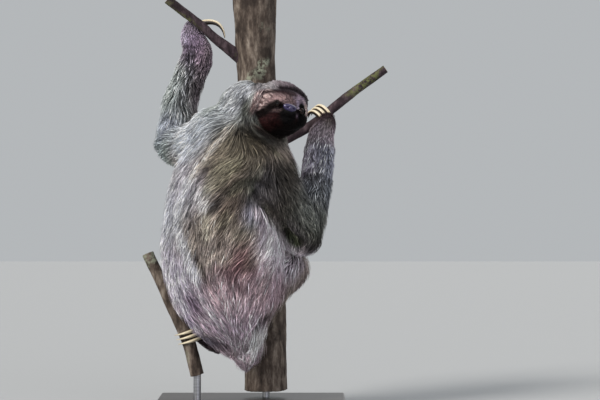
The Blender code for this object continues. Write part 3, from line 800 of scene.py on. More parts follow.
def head_field(local):
    """About how far each point is outside the head's skin, with its eye sockets, lids and mouth."""
    found = None
    for centre, axes, depth in HEAD_BALLS.values():
        d = ball_distance(local, centre, np.array(axes) - depth)
        found = d if found is None else smooth_least(found, d, HEAD_BLEND)
    x, z = np.abs(local[:, 0]), local[:, 2]
    front = step(-14, -24, local[:, 1])
    from_eye = (x - EYE_PLACE.x) ** 2 + ((z - EYE_PLACE.z) * 1.1) ** 2
    socket = SOCKET_DEPTH * np.exp(-from_eye / (2 * SOCKET_REACH ** 2))
    lip = LIP_DEPTH * np.exp(-(z - mouth_height(x)) ** 2) * step(17, 14, x)
    cleft = CLEFT_DEPTH * np.exp(-(x / 0.9) ** 2) * step(-8, -10, z) * step(-20, -18, z)
    corner = CORNER_DEPTH * np.exp(-((x - 16.5) ** 2 + (z + 14.5) ** 2) / (2 * 2.5 ** 2))
    bridge = BRIDGE_HEIGHT * np.exp(-(x / 6.0) ** 2 - ((z - 2) / 8.0) ** 2)
    found = found + front * (socket + lip + cleft + corner - bridge)
    mirrored = np.column_stack((x, local[:, 1:]))
    lid_place = (EYE_PLACE.x, EYE_PLACE.y + 0.2, EYE_PLACE.z)
    lid = ball_distance(mirrored, lid_place, LID_SIZE)
    found = smooth_least(found, lid, 2.0)
    slit_place = (EYE_PLACE.x + 0.2, EYE_PLACE.y - 6.0, EYE_PLACE.z - 0.3)
    slit = ball_distance(mirrored, slit_place, LID_OPENING)
    return -smooth_least(-found, slit, 0.8)


def project_to_head(points):
    """Moves points, in the head's frame, onto the head's skin."""
    reach = 0.2
    for _ in range(PROJECT_ROUNDS):
        here = head_field(points)
        slope = np.stack(
            [(head_field(points + axis * reach) - here) / reach for axis in np.eye(3)], axis=1)
        points = points - slope * (here / np.maximum((slope ** 2).sum(1), 0.25))[:, None]
    return points


def pressed_from_front(points):
    """Slides points of the face straight back onto the first surface met from in front."""
    points = points.copy()
    points[:, 1] = PRESS_START
    for _ in range(PRESS_ROUNDS):
        points[:, 1] += np.clip(head_field(points) * 0.8, -0.3, 6.0)
    return points


def head_share(face):
    """1 on the head, fading away at its edge."""
    return step(58, 50, np.linalg.norm(face, axis=1))


def claw_roots(name):
    """The root, tip and arch of each of the paw's three claws."""
    root, tip, arch, between = (Vector(v) for v in CLAW_SETS[name])
    return [(root + between * i, tip + between * i, arch) for i in (-1, 0, 1)]


def squash_of(name):
    """How much shallower than wide a mass is."""
    return TORSO_DEPTH if name == "torso" else 1.0


def skin_mesh():
    """One closed skin, inside the coat's outline by the coat's depth."""
    bm = bmesh.new()
    for name, rows in MASSES.items():
        squash = squash_of(name)
        size = Matrix.Diagonal((1, squash, 1, 1))
        for x, y, z, radius, depth in smooth_rows(rows, CHAIN_STEPS):
            y = TORSO_MIDDLE + (y - TORSO_MIDDLE) * squash
            bmesh.ops.create_icosphere(
                bm, subdivisions=3 if radius > LARGE_BALL else 2, radius=(radius - depth) * MM,
                matrix=Matrix.Translation(Vector((x, y, z)) * MM) @ size)
    for paw in CLAW_SETS:
        end = Vector(MASSES[paw][-1][:3])
        for root, _, _ in claw_roots(paw):
            for t in np.linspace(0, 1, FINGER_BALLS):
                bmesh.ops.create_icosphere(
                    bm, subdivisions=2, radius=(FINGER_RADIUS - FINGER_TAPER * t) * MM,
                    matrix=Matrix.Translation(end.lerp(root, t) * MM))
    for centre, axes, depth in HEAD_BALLS.values():
        size = Matrix.Diagonal((*(Vector(axes) - Vector((depth,) * 3)), 1.0))
        bmesh.ops.create_icosphere(
            bm, subdivisions=4, radius=1.0, matrix=HEAD_FRAME @ Matrix.Translation(centre) @ size)
    return modified(bm, (
        ("REMESH", {"mode": "VOXEL", "voxel_size": SKIN_GRID * MM}),
        ("SMOOTH", {"factor": 0.5, "iterations": SKIN_SMOOTHING}),
    ))


def refine_face(bm):
    """Cuts the skin of the face finer, and finest at the eyes and mouth, then models it."""
    for reach, places in FACE_CUTS:
        local = to_head(np.array([e.verts[0].co for e in bm.edges]))
        near = np.zeros(len(local), bool)
        for place in places:
            near |= np.linalg.norm(local - np.array(place), axis=1) < reach
        bm.edges.ensure_lookup_table()
        edges = [bm.edges[i] for i in np.flatnonzero(near)]
        bmesh.ops.subdivide_edges(bm, edges=edges, cuts=1, use_grid_fill=True)
    bmesh.ops.triangulate(bm, faces=[f for f in bm.faces if len(f.verts) > 4])
    local = to_head(points_of(bm))
    share = np.maximum(step(6, -12, local[:, 1]), step(10, 26, local[:, 2])) * head_share(local)
    head = np.flatnonzero(share > 0)
    moved = project_to_head(local[head])
    front = np.hypot(moved[:, 0] / 31, (moved[:, 2] + 7) / 27)
    flat = step(1.0, 0.86, front) * (moved[:, 1] < -10)
    faced = np.flatnonzero(flat > 0)
    moved[faced] += (pressed_from_front(moved[faced]) - moved[faced]) * flat[faced][:, None]
    local[head] += (moved - local[head]) * share[head][:, None]
    for vert, place in zip(bm.verts, from_head(local)):
        vert.co = place


def press_folds(bm):
    """Moves the skin in and out along the folds and ridges of the coat."""
    bm.verts.ensure_lookup_table()
    bm.normal_update()
    local = points_of(bm) / MM
    for _, _, _, height, reach, line in FOLDS:
        shares = line_share(local, line, reach * SKIN_FOLD)
        for index in np.flatnonzero(shares > 0.02):
            bm.verts[index].co += bm.verts[index].normal * (height * MM * shares[index])
    bmesh.ops.recalc_face_normals(bm, faces=bm.faces)


# ---- Regions, lie and colour of the coat ----


def nearest_mass(points):
    """For each point: its mass, the way that runs, the coat's depth, and how far along it is."""
    local = points / MM
    best = np.full(len(points), np.inf)
    which = np.zeros(len(points), int)
    axis = np.zeros((len(points), 3))
    depth = np.zeros(len(points))
    along = np.zeros(len(points))
    for index, name in enumerate(MASSES):
        rows = smooth_rows(MASSES[name], AXIS_STEPS)
        place = local.copy()
        place[:, 1] = TORSO_MIDDLE + (place[:, 1] - TORSO_MIDDLE) / squash_of(name)
        run = 0.0
        for a, b in zip(rows, rows[1:]):
            span = b[:3] - a[:3]
            length = np.linalg.norm(span)
            t = np.clip((place - a[:3]) @ span / length ** 2, 0, 1)
            inner = a[3] - a[4] + t * (b[3] - b[4] - a[3] + a[4])
            distance = np.linalg.norm(place - a[:3] - t[:, None] * span, axis=1) - inner
            closer = distance < best
            best[closer], which[closer] = distance[closer], index
            axis[closer] = span / length
            depth[closer] = (a[4] + t * (b[4] - a[4]))[closer]
            along[closer] = run + t[closer] * length
            run += length
    closer = head_field(to_head(points)) - HEAD_CLAIM < best
    which[closer] = HEAD_INDEX
    depth[closer] = HEAD_DEPTH
    return which, axis, depth, along


def hair_flow(points, normals, which, axis):
    """The way the hair lies at each point of the skin, along the skin."""
    local = points / MM
    flow = np.zeros_like(points)
    flow[:, 2] = HANG
    for place, direction, reach in LIE:
        flow += nearness(local, place, reach)[:, None] * np.array(direction)
    sense = np.array([ALONG[name] for name in MASS_NAMES], float)[which]
    flow = unit(flow) + axis * sense[:, None] * LIMB_LIE
    # On the head it grows outwards from the middle of the face.
    face = to_head(points)
    out = face - np.array((0, -30, -6.0))
    out[:, 1] = np.abs(out[:, 1]) * 1.2 + 4
    radial = unit(out @ np.array(HEAD_TURN).T)
    share = (which == HEAD_INDEX) * step(56, 46, np.linalg.norm(face, axis=1))
    share = share * (1 - 0.75 * step(-6, 24, face[:, 1]))
    flow = flow * (1 - share[:, None]) + radial * share[:, None] * 2.5
    flow -= normals * (flow * normals).sum(1)[:, None]
    return unit(flow)


def stroke(x, z, points, width, soft):
    """How strongly a brush drawn through points of x and z covers each place on the face."""
    nearest = np.full(len(x), np.inf)
    for (ax, az), (bx, bz) in zip(points, points[1:]):
        dx, dz = bx - ax, bz - az
        t = np.clip(((x - ax) * dx + (z - az) * dz) / (dx * dx + dz * dz), 0, 1)
        nearest = np.minimum(nearest, np.hypot(x - ax - t * dx, z - az - t * dz))
    return step(width / 2 + soft, width / 2 - soft, nearest)


def face_disc(across, z):
    """How far out on the face's disc each place is: 0 at its middle, 1 at its rim."""
    return np.hypot(across / 50, (z + 4) / 46)


def face_share(face):
    """How far each place of the head belongs to the short-haired face, from 0 to 1."""
    x, y, z = face.T
    brow = 24 - 0.0035 * x ** 2
    near = step(58, 54, np.linalg.norm(face, axis=1))
    rim = step(1.05, 0.96, face_disc(x, z))
    return near * step(9, 1, y) * rim * step(brow + 4, brow - 2, z)


def layered(colour, layers):
    """A colour under a row of tints, each a hex value and how strong it is at each place."""
    for code, share in layers:
        colour = colour + (np.array(srgb(code)[:3]) - colour) * share[:, None]
    return colour


def hood_colour(colour, face):
    """The longer hair round the face: greyer than the coat, dark over the brow and at the chin."""
    across, y, z = face.T
    head = head_share(face)
    brow = stroke(across, z, ((-14, 27), (2, 30), (18, 31), (29, 25), (37, 10)), 9, 4)
    return layered(colour, (
        ("#83857f", head * 0.8),
        ("#7a6c74", head * step(8, 24, z) * 0.85),
        ("#979496", head * step(-10, -30, across) * step(6, 22, z) * 0.85),
        ("#54474f", head * step(-14, 8, across) * step(4, 22, z) * 0.7),
        ("#2b2127", head * step(6, 28, across) * step(-10, 16, z) * 0.8),
        # Dark brown hair below the chin, partly painted shade under the head.
        ("#241d18", head * step(-24, -36, z) * 0.95),
        ("#140a10", brow * head * step(0, -10, y)),
    ))


def face_colour(points, face):
    """The face: pink and lilac over a dark lower half, with a black mask from eye to cheek."""
    across, _, z = face.T
    x = np.abs(across)
    left = step(4, -4, across)
    disc = face_disc(across, z)
    rays = 0.5 + 0.5 * np.sin(np.arctan2(z + 6, across) * 34 + mottle(points, 12, 8) * 3)
    dark_ray = left * step(0.60, 0.80, disc) * step(-16, 0, z) * rays
    pale_ray = left * step(0.60, 0.76, disc) * step(-20, -6, z) * (1 - rays)
    cheek_rim = left * step(0.84, 0.97, disc) * step(-2, -8, z) * step(-42, -26, z)
    base = np.tile(np.array(srgb("#756263")[:3]), (len(points), 1))
    return layered(base, (
        # Lilac on one side, a pale pink band over the eye on the lit side that is partly painted
        # highlight, and rays of streaked hair.
        ("#837484", step(2, 20, across) * 0.85),
        # Pale brow over the eye on the lit side, partly painted highlight.
        ("#a98f8e", stroke(x, z, ((12, 7), (22, 7), (31, 1)), 6, 4) * left),
        ("#7b6260", stroke(x, z, ((33, 8), (44, -8)), 9, 5) * 0.6),
        ("#2a1615", dark_ray * 0.7),
        ("#e2cac6", pale_ray * 0.85),
        # The dark lower half, dark brown hair with painted shade under the face, darkest on the
        # side away from the light, with a redder cheek and its paler rim.
        ("#240e0e", step(-8, -14, z + 0.22 * x)),
        ("#080606", step(-16, -40, z - 0.7 * across) * 0.95),
        ("#43292a", stroke(x, z, ((24, -26), (34, -24)), 7, 5) * left * 0.5),
        ("#7a5f5a", cheek_rim * 0.6),
        # The mask round each eye, and the pale hair beside it.
        ("#0f0707", stroke(x, z, ((13, -4), (21, -3), (28, -9), (34, -17), (40, -28)), 12, 3.0)),
        ("#030202", stroke(across, z, ((22, 4), (23, -6), (27, -24)), 13, 2.0)),
        ("#cdb9b0", stroke(across, z, ((25, 15), (29, 12), (31, 4), (33, -4)), 4.5, 2.0) * 0.9),
        ("#5b4c45", stroke(across, z, ((-11, -10.5), (-18, -12.5), (-24, -15)), 2.2, 1.4) * 0.5),
        # The muzzle, the lilac streak beside the nose, the forehead and the dark brow.
        ("#060405", step(17, 11, np.hypot(x, (z + 16) * 0.95))),
        ("#afa4b8", stroke(across, z, ((11, 12), (14, 5), (15, 0)), 3.5, 2.0) * 0.8),
        ("#8f7f8c", stroke(across, z, ((6, 15), (18, 17), (25, 14)), 7, 4) * 0.8),
        ("#210f14", stroke(
            across, z, ((-38, 15), (-28, 18), (-14, 19), (0, 18), (8, 20)), 6, 2.5) * 0.88),
        ("#120910", stroke(across, z, ((-22, 24), (-8, 25), (6, 27)), 10, 3)),
        ("#120910", stroke(across, z, ((6, 29), (18, 32), (30, 27), (37, 12)), 6, 2)),
    ))


def coat_colour(points):
    """The markings of skin and coat at each place, with the painted light and shade of some washes
    and folds.
    """
    local = points / MM
    total = np.full(len(points), BASE_WEIGHT)
    colour = np.full((len(points), 3), BASE_WEIGHT) * np.array(srgb(BASE_COLOUR)[:3])
    for _, place, reach, code in WASHES:
        weight = nearness(local, place, reach * WASH_SPREAD)
        total += weight
        colour += weight[:, None] * np.array(srgb(code)[:3])
    colour = layered(colour / total[:, None], (
        (code, strength * line_share(local, line, reach))
        for _, code, strength, _, reach, line in FOLDS))
    algae = 0.16 * step(0.0, 0.8, mottle(points, 46, 3))
    colour = layered(colour, (("#7f8a66", algae),))
    face = to_head(points)
    front = face_share(face)[:, None]
    return hood_colour(colour, face) * (1 - front) + face_colour(points, face) * front


# ---- Locks of hair ----

PATCH = 0.003               # size of one lock's patch on the baked map
ATLAS_SCALE = 1.25          # map units for each metre of skin
MAP_GAP = 0.01              # between the strips of the map
MAP_LEAN = 0.3              # how much of a face's offset from its mass's middle tells on the map
MAP_END = 30                # mm of skin past each end of a mass
TUFT_PULL = 0.42            # how far the locks of a tuft close up at its tip
TUFT_SIZE = 12              # locks in a tuft
LOCK_STIFFNESS = 0.25       # how far a lock keeps its own course
LOCK_RISE = (-0.04, 0.60, 0.90, 1.0)    # of its height, at each ring from root to tip
LOCK_WIDTH = (0.70, 2.90 / 3, 0.74)
# Darker at the root, partly a dark undercoat and partly painted shade deep in the coat; paler at
# the tip.
LOCK_TONE_AND_SHADE = (0.30, 0.87, 3.49 / 3, 1.36)
LOCK_STEPS = len(LOCK_WIDTH)
LOCK_THICKNESS = 0.7        # of its width
DARK_LOCKS = 0.22           # share of the locks that are dark ones
PALE_LOCKS = 0.78           # the share above which they are pale ones
HOLLOW_HEIGHT = -3          # a fold at least this deep stays clear of the hair above it
HOLLOW_TESTS = 13           # places along a lock where that is tested
HOLLOW_STUB = 0.12          # share of a lock that always stays

# Pieces of the coat: number of locks, length and width in mm, how far the hair stands of the
# coat's depth, how much the locks stray, and how much they differ in tone.
COAT = {
    "coat_face": (9000, 7.0, 0.85, 0.9, 0.18, 0.28),
    "coat_hood": (7200, 20, 1.1, 1.0, 0.22, 0.34),
    "coat_nape": (6400, 32, 1.3, 1.0, 0.28, 0.40),
    "coat_shoulders": (11400, 43, 1.3, 1.0, 0.25, 0.40),
    "coat_back": (11400, 46, 1.3, 1.0, 0.25, 0.40),
    "coat_loin": (11400, 46, 1.3, 1.0, 0.25, 0.40),
    "coat_rump": (11400, 54, 1.3, 1.0, 0.22, 0.40),
    "coat_arm_left": (6600, 28, 1.25, 1.0, 0.30, 0.42),
    "coat_arm_right": (6600, 28, 1.25, 1.0, 0.30, 0.42),
    "coat_leg_left": (4400, 32, 1.35, 1.0, 0.28, 0.36),
    "coat_leg_right": (4400, 32, 1.35, 1.0, 0.28, 0.36),
    "coat_paws": (4400, 6.5, 1.0, 0.9, 0.15, 0.14),
}
# The other masses, as the pieces of the coat that grow on them.
COAT_OF = {
    "neck": "coat_nape", "head": "coat_hood",
    **{f"{part}_{side}": f"coat_{limb}_{side}" for side in ("left", "right")
       for part, limb in (("upper_arm", "arm"), ("forearm", "arm"),
                          ("thigh", "leg"), ("shank", "leg"))},
    **dict.fromkeys(CLAW_SETS, "coat_paws"),
}


class Skin:
    """The skin's faces as arrays, with the lie, depth and map place of the hair on each."""

    def __init__(self, bm):
        bm.normal_update()
        bm.verts.ensure_lookup_table()
        bm.faces.ensure_lookup_table()
        self.points = points_of(bm)
        self.tree = BVHTree.FromBMesh(bm)
        corners = [[v.index for v in f.verts] for f in bm.faces]
        self.corners = np.array([c + [c[-1]] * (4 - len(c)) for c in corners])
        normals = np.array([v.normal for v in bm.verts])
        self.normal = unit(normals[self.corners].sum(1))
        self.area = np.array([f.calc_area() for f in bm.faces])
        middle = self.points[self.corners].mean(1)
        which, axis, self.depth, along = nearest_mass(middle)
        self.flow = hair_flow(middle, self.normal, which, axis)
        lift = np.ones(len(middle))
        for _, _, _, height, reach, line in FOLDS:
            lift += height * FOLD_LIFT * line_share(middle / MM, line, reach)
        self.lift = np.clip(lift, 0.2, 1.5)
        self.region = region_of(middle, which)
        self.place = map_places(middle, which, along)

    def nearest(self, points):
        """The nearest place on the skin to each point, and its face."""
        found = [self.tree.find_nearest(p) for p in points]
        return np.array([f[0] for f in found]), np.array([f[2] for f in found])


def region_of(middle, which):
    """The piece of the coat that each face of the skin grows."""
    height = middle[:, 2] / MM
    region = np.full(len(middle), "coat_back", dtype=object)
    region[height > 368] = "coat_shoulders"
    region[height < 300] = "coat_loin"
    region[height < 222] = "coat_rump"
    for index, name in enumerate(MASS_NAMES):
        if name in COAT_OF:
            region[which == index] = COAT_OF[name]
    region[(which == HEAD_INDEX) & (face_share(to_head(middle)) > 0.5)] = "coat_face"
    return region


def map_places(middle, which, along):
    """The skin unrolled: each mass is a strip of the map, round it across, along it upwards."""
    local = middle / MM
    places = np.zeros((len(middle), 2))
    left, bottom, shelf = MAP_GAP, MAP_GAP, 0.0
    for index, name in enumerate(MASS_NAMES):
        mine = which == index
        if name == "head":
            q = to_head(middle[mine])
            size = np.linalg.norm(q, axis=1)
            turn = np.arctan2(q[:, 0], q[:, 1])
            up = np.arcsin(np.clip(q[:, 2] / size, -1, 1)) / math.pi + 0.5
            wide, high = 2 * math.pi * HEAD_RADIUS, math.pi * HEAD_RADIUS
        else:
            rows = np.array(MASSES[name], float)
            radius = (rows[:, 3] - rows[:, 4]).mean()
            spine = rows[:, :3]
            run = np.linalg.norm(np.diff(spine, axis=0), axis=1).sum()
            axis = unit(spine[-1] - spine[0])
            across = unit(np.cross(axis, (0.0, 1.0, 0.2)))
            q = local[mine] - spine.mean(0)
            turn = np.arctan2(q @ across, q @ np.cross(axis, across))
            up = along[mine] + (q @ axis) * MAP_LEAN + MAP_END
            up = up / (run * (1 + MAP_LEAN) + 2 * MAP_END)
            wide, high = 2 * math.pi * radius, run + 2 * radius
        wide, high = wide * MM * ATLAS_SCALE, high * MM * ATLAS_SCALE
        if left + wide > 1 - MAP_GAP:
            left, bottom, shelf = MAP_GAP, bottom + shelf + MAP_GAP, 0.0
        shelf = max(shelf, high)
        places[mine, 0] = left + (turn / (2 * math.pi) + 0.5) * wide
        places[mine, 1] = bottom + np.clip(up, 0, 1) * high
        left += wide + MAP_GAP
    return np.clip(places, 0.002, 0.995)


def rooted(skin, faces, count, rng):
    """Roots spread evenly over the faces: the face of each root, and its place."""
    share = np.cumsum(skin.area[faces])
    picks = (np.arange(count) + rng.uniform(0, 1, count)) / count * share[-1]
    chosen = faces[np.minimum(np.searchsorted(share, picks), len(faces) - 1)]
    a, b, c, d = (skin.points[skin.corners[chosen, i]] for i in range(4))
    u, v = rng.uniform(0, 1, (2, count, 1))
    return chosen, (a * (1 - u) + b * u) * (1 - v) + (d * (1 - u) + c * u) * v


def tufts_of(roots, size, rng):
    """Each lock's tuft of about that many locks, and the way from the lock to its middle."""
    count = max(1, len(roots) // size)
    middles = roots[rng.choice(len(roots), count, replace=False)]
    tree = KDTree(count)
    for index, place in enumerate(middles):
        tree.insert(place, index)
    tree.balance()
    tuft = np.array([tree.find(place)[1] for place in roots])
    return tuft, middles[tuft] - roots


def lock_lines(skin, chosen, roots, length, rise, stray, tuft, inward, rng):
    """The middle line of each lock, and the skin's outward direction along it."""
    count = len(roots)
    pace = (length / LOCK_STEPS)[:, None]
    normal = skin.normal[chosen]
    lines = [roots + normal * (rise * LOCK_RISE[0])[:, None]]
    normals = [normal]
    foot, face = roots.copy(), chosen.copy()
    clump = rng.normal(0, stray * 0.6, tuft.max() + 1)[tuft] + mottle(roots, 26, 11) * stray * 1.1
    angle = clump + rng.normal(0, stray * 0.35, count)
    rise = rise * rng.uniform(0.75, 1.12, tuft.max() + 1)[tuft]
    before = None
    for k in range(1, LOCK_STEPS + 1):
        normal, flow = skin.normal[face], skin.flow[face]
        side = np.cross(normal, flow)
        turn = angle * (0.5 + 0.5 * k / LOCK_STEPS) + rng.normal(0, stray * 0.3, count)
        ahead = flow * np.cos(turn)[:, None] + side * np.sin(turn)[:, None]
        if before is not None:
            ahead = unit(ahead * (1 - LOCK_STIFFNESS) + before * LOCK_STIFFNESS)
        foot, face = skin.nearest(foot + ahead * pace)
        normal = skin.normal[face]
        point = foot + normal * (rise * LOCK_RISE[k] * skin.lift[face])[:, None]
        if before is not None:
            straight = lines[-1] + before * pace
            point = point * (1 - LOCK_STIFFNESS) + straight * LOCK_STIFFNESS
        point = point + inward * (TUFT_PULL / LOCK_STEPS)
        before = unit(point - lines[-1])
        lines.append(point)
        normals.append(normal)
    return np.stack(lines, 1), np.stack(normals, 1)


def kept_from_hollows(lines):
    """Locks drawn back to their roots where they would hang over a hollow of the coat."""
    places = np.linspace(0, LOCK_STEPS, HOLLOW_TESTS)
    before = np.minimum(places.astype(int), LOCK_STEPS - 1)
    part = (places - before)[None, :, None]
    tested = (lines[:, before] * (1 - part) + lines[:, before + 1] * part) / MM
    kept = np.ones(len(lines))
    for _, _, _, height, reach, line in FOLDS:
        if height <= HOLLOW_HEIGHT:
            shares = line_share(tested.reshape(-1, 3), line, reach).reshape(len(lines), -1)
            first = (shares > 0.5).argmax(axis=1)
            over = first > 0
            kept[over] = np.minimum(kept[over], first[over] / (HOLLOW_TESTS - 1))
    root = lines[:, :1]
    return root + (lines - root) * np.maximum(kept, HOLLOW_STUB)[:, None, None]


def lock_pattern():
    """One closed three-sided lock: its faces' corners, their spots on its patch, and its sides."""
    faces, spots = [], []
    for ring in range(LOCK_STEPS):
        low, high = ring / LOCK_STEPS, (ring + 1) / LOCK_STEPS
        for i in range(3):
            a, b = ring * 3 + i, ring * 3 + (i + 1) % 3
            near, far = i / 3, (i + 1) / 3
            if ring < LOCK_STEPS - 1:
                faces.append((b, a, a + 3, b + 3))
                spots.append(((far, low), (near, low), (near, high), (far, high)))
            else:
                faces.append((b, a, LOCK_STEPS * 3))
                spots.append(((far, low), (near, low), ((i + 0.5) / 3, high)))
    faces.append((0, 1, 2))
    spots.append(((0, 0), (0.5, 0.08), (1, 0)))
    return np.concatenate(faces), np.concatenate(spots), [len(f) for f in faces]


def lock_mesh(name, lines, normals, width, colour, tone, places, rng):
    """The locks along their lines, joined as one mesh with its map and attributes."""
    count = len(lines)
    ahead = unit(np.gradient(lines, axis=1))
    side = unit(np.cross(ahead, normals))
    rise = np.cross(side, ahead)
    half = (width[:, None] * np.array(LOCK_WIDTH)[None] / 2)[..., None]
    mid, side, rise = lines[:, :-1], side[:, :-1] * half, rise[:, :-1] * half * LOCK_THICKNESS
    corners = np.stack((mid + side, mid + rise, mid - side), axis=2)
    each = LOCK_STEPS * 3 + 1
    verts = np.concatenate((corners.reshape(count, each - 1, 3), lines[:, -1:]), axis=1)
    index, spots, sizes = lock_pattern()
    loops = (np.arange(count)[:, None] * each + index[None]).ravel()
    totals = np.tile(sizes, count)
    mesh = bpy.data.meshes.new(name)
    mesh.vertices.add(count * each)
    mesh.loops.add(len(loops))
    mesh.polygons.add(len(totals))
    mesh.vertices.foreach_set("co", verts.reshape(-1).astype(np.float32))
    mesh.loops.foreach_set("vertex_index", loops.astype(np.int32))
    mesh.polygons.foreach_set("loop_start", (np.cumsum(totals) - totals).astype(np.int32))
    mesh.update(calc_edges=True)
    uv = mesh.uv_layers.new(name="OFBake")
    spots = places[:, None] + (spots - 0.5)[None] * PATCH
    uv.data.foreach_set("uv", spots.reshape(-1).astype(np.float32))
    along = np.append(np.repeat(np.arange(LOCK_STEPS), 3), LOCK_STEPS)
    shade = np.array(LOCK_TONE_AND_SHADE)[along][None] * tone[:, None]
    paint = np.clip(colour[:, along] * shade[..., None], 0, 0.95)
    paint = np.concatenate((paint, np.ones((count, each, 1))), axis=2)
    set_values(mesh, "coat_colour", "FLOAT_COLOR", "color", paint)
    # Each lock's own stretch of the noise that draws its single hairs.
    across = np.append(np.tile((0.0, 1.5, 3.0), LOCK_STEPS), 1.5)
    seed = rng.uniform(0, 400, count)[:, None]
    strand = np.broadcast_arrays(across[None] * 1.4 + seed, (along * 0.35)[None], seed * 0.37)
    set_values(mesh, "strand", "FLOAT_VECTOR", "vector", np.stack(strand, axis=2))
    mesh.shade_smooth()
    return mesh


def hair_tone(roots, tuft, spread, rng):
    """How light each lock is: alike within a tuft, with some dark, some pale, and flecks."""
    shared = rng.normal(0, spread * 0.32, tuft.max() + 1)[tuft]
    tone = np.exp(rng.normal(0, spread * 0.7, len(roots)) + shared)
    fleck = np.zeros(len(roots))
    for reach, line in FLECKS:
        fleck = np.maximum(fleck, line_share(roots / MM, line, reach))
    kind = rng.uniform(0, 1, len(roots))
    tone *= np.where(kind < DARK_LOCKS, 1 - 1.1 * spread, 1.0)
    return tone * np.where(kind > PALE_LOCKS, 1 + 1.6 * spread + 1.6 * fleck, 1 - 0.4 * fleck)


def grow_coat(skin, materials, share):
    """All the pieces of the coat."""
    for index, (name, (count, length, width, rise, stray, spread)) in enumerate(COAT.items()):
        rng = np.random.default_rng(SEED + index)
        count = int(count * share)
        faces = np.flatnonzero(skin.region == name)
        chosen, roots = rooted(skin, faces, count, rng)
        lengths = length * MM * rng.uniform(0.65, 1.3, count)
        heights = skin.depth[chosen] * MM * rise * rng.uniform(0.6, 1.05, count)
        face = to_head(roots)
        if "arm" in name or "leg" in name:
            lengths *= np.clip(skin.depth[chosen] / 11.5, 0.42, 1.1)
        elif name == "coat_face":
            # Clear of the eyes and nose, shortest beside them and longest at the face's rim.
            eye = np.hypot(np.abs(face[:, 0]) - EYE_PLACE.x, face[:, 2] - EYE_PLACE.z)
            nose = np.hypot(face[:, 0] / NOSE_SIZE.x, (face[:, 2] - NOSE_PLACE.z) / NOSE_SIZE.z)
            keep = (eye > EYE_CLEAR) & ~((nose < 1.15) & (face[:, 1] < NOSE_BACK))
            chosen, roots, lengths = chosen[keep], roots[keep], lengths[keep]
            near = step(4, 16, np.minimum(eye[keep], nose[keep] * 7 - 3))
            rim = step(0.75, 1.05, face_disc(face[keep, 0], face[keep, 2]))
            lengths *= 0.35 + 0.75 * near + 1.1 * rim
            heights = (0.7 + 1.1 * near + 2.6 * rim) * MM * rng.uniform(0.6, 1.1, len(roots))
        elif name == "coat_hood":
            lengths *= 0.6 + 0.5 * step(-18, 12, face[:, 1])
            heights *= 0.75 + 0.3 * step(-18, 8, face[:, 1])
        elif name == "coat_paws":
            heights = 2.0 * MM * rng.uniform(0.6, 1.1, count)
        tuft, inward = tufts_of(roots, TUFT_SIZE, rng)
        lines, normals = lock_lines(
            skin, chosen, roots, lengths, heights, stray, tuft, inward, rng)
        lines = kept_from_hollows(lines)
        widths = width * MM * rng.uniform(0.7, 1.3, len(roots)) / math.sqrt(share)
        colour = np.stack([coat_colour(ring) for ring in lines.swapaxes(0, 1)], axis=1)
        tone = hair_tone(roots, tuft, spread, rng)
        mesh = lock_mesh(name, lines, normals, widths, colour, tone, skin.place[chosen], rng)
        mesh.materials.append(materials["face" if name == "coat_face" else "coat"])
        obj = linked(name, mesh)
        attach(obj, "root")


# ---- The pieces ----


def make_skin(nodes):
    """The skin in the coat's colours, darkened as the dark undercoat and painted shade that show
    between the locks.
    """
    bm = skin_mesh()
    refine_face(bm)
    press_folds(bm)
    skin = Skin(bm)
    flesh = [n for n in nodes if n in MASSES or n in ("head", "chest", "loin", "rump")]
    obj = piece_of(bm, "skin", [skin_material()], flesh)
    local = to_head(skin.points)
    face = step(-10, -20, local[:, 1]) * head_share(local)
    # Painted shade deep in the coat: the skin is darkened, less so on the short-haired face.
    colours = coat_colour(skin.points) * (0.32 + 0.3 * face)[:, None]
    colours = np.concatenate((colours, np.ones((len(colours), 1))), axis=1)
    set_values(obj.data, "coat_colour", "FLOAT_COLOR", "color", colours)
    return skin


def make_eyes():
    """Two eyeballs, each with the angle from its gaze to every point on it."""
    material = eye_material()
    for side, sign in (("left", 1), ("right", -1)):
        bm = bmesh.new()
        in_head = Vector((EYE_PLACE.x * sign, EYE_PLACE.y, EYE_PLACE.z))
        centre = (HEAD_CENTRE + HEAD_TURN @ in_head) * MM
        bmesh.ops.create_uvsphere(
            bm, u_segments=40, v_segments=28, radius=EYE_RADIUS * MM,
            matrix=Matrix.Translation(centre))
        gaze = (HEAD_TURN @ Vector((0.25 * sign, -1, 0))).normalized()
        facing = unit(points_of(bm) - np.array(centre)) @ np.array(gaze)
        turned = np.arccos(np.clip(facing, -1, 1))
        obj = piece_of(bm, f"eyeball_{side}", [material], [f"eye_{side}"])
        set_values(obj.data, "gaze", "FLOAT", "value", np.minimum(turned / 1.2, 1))


def make_nose():
    """A broad leather nose with two comma-shaped nostrils and a seam between them."""
    bm = bmesh.new()
    bmesh.ops.create_icosphere(bm, subdivisions=5, radius=1.0)
    for vert in bm.verts:
        x, y, z = vert.co
        x *= 1 + 0.12 * z
        out = abs(x) - 0.45
        dent = math.exp(-((out / 0.17) ** 2 + ((z + 0.22 + 0.3 * out) / 0.2) ** 2))
        seam = 0.12 * math.exp(-(x / 0.07) ** 2) * max(0.0, 0.3 - z)
        if y < 0:
            y += 0.6 * dent + seam
        vert.co = Vector((x * NOSE_SIZE.x, y * NOSE_SIZE.y, z * NOSE_SIZE.z)) + NOSE_PLACE
    bmesh.ops.transform(bm, matrix=HEAD_FRAME, verts=bm.verts)
    piece_of(bm, "nose_leather", [nose_material()], ["nose"])


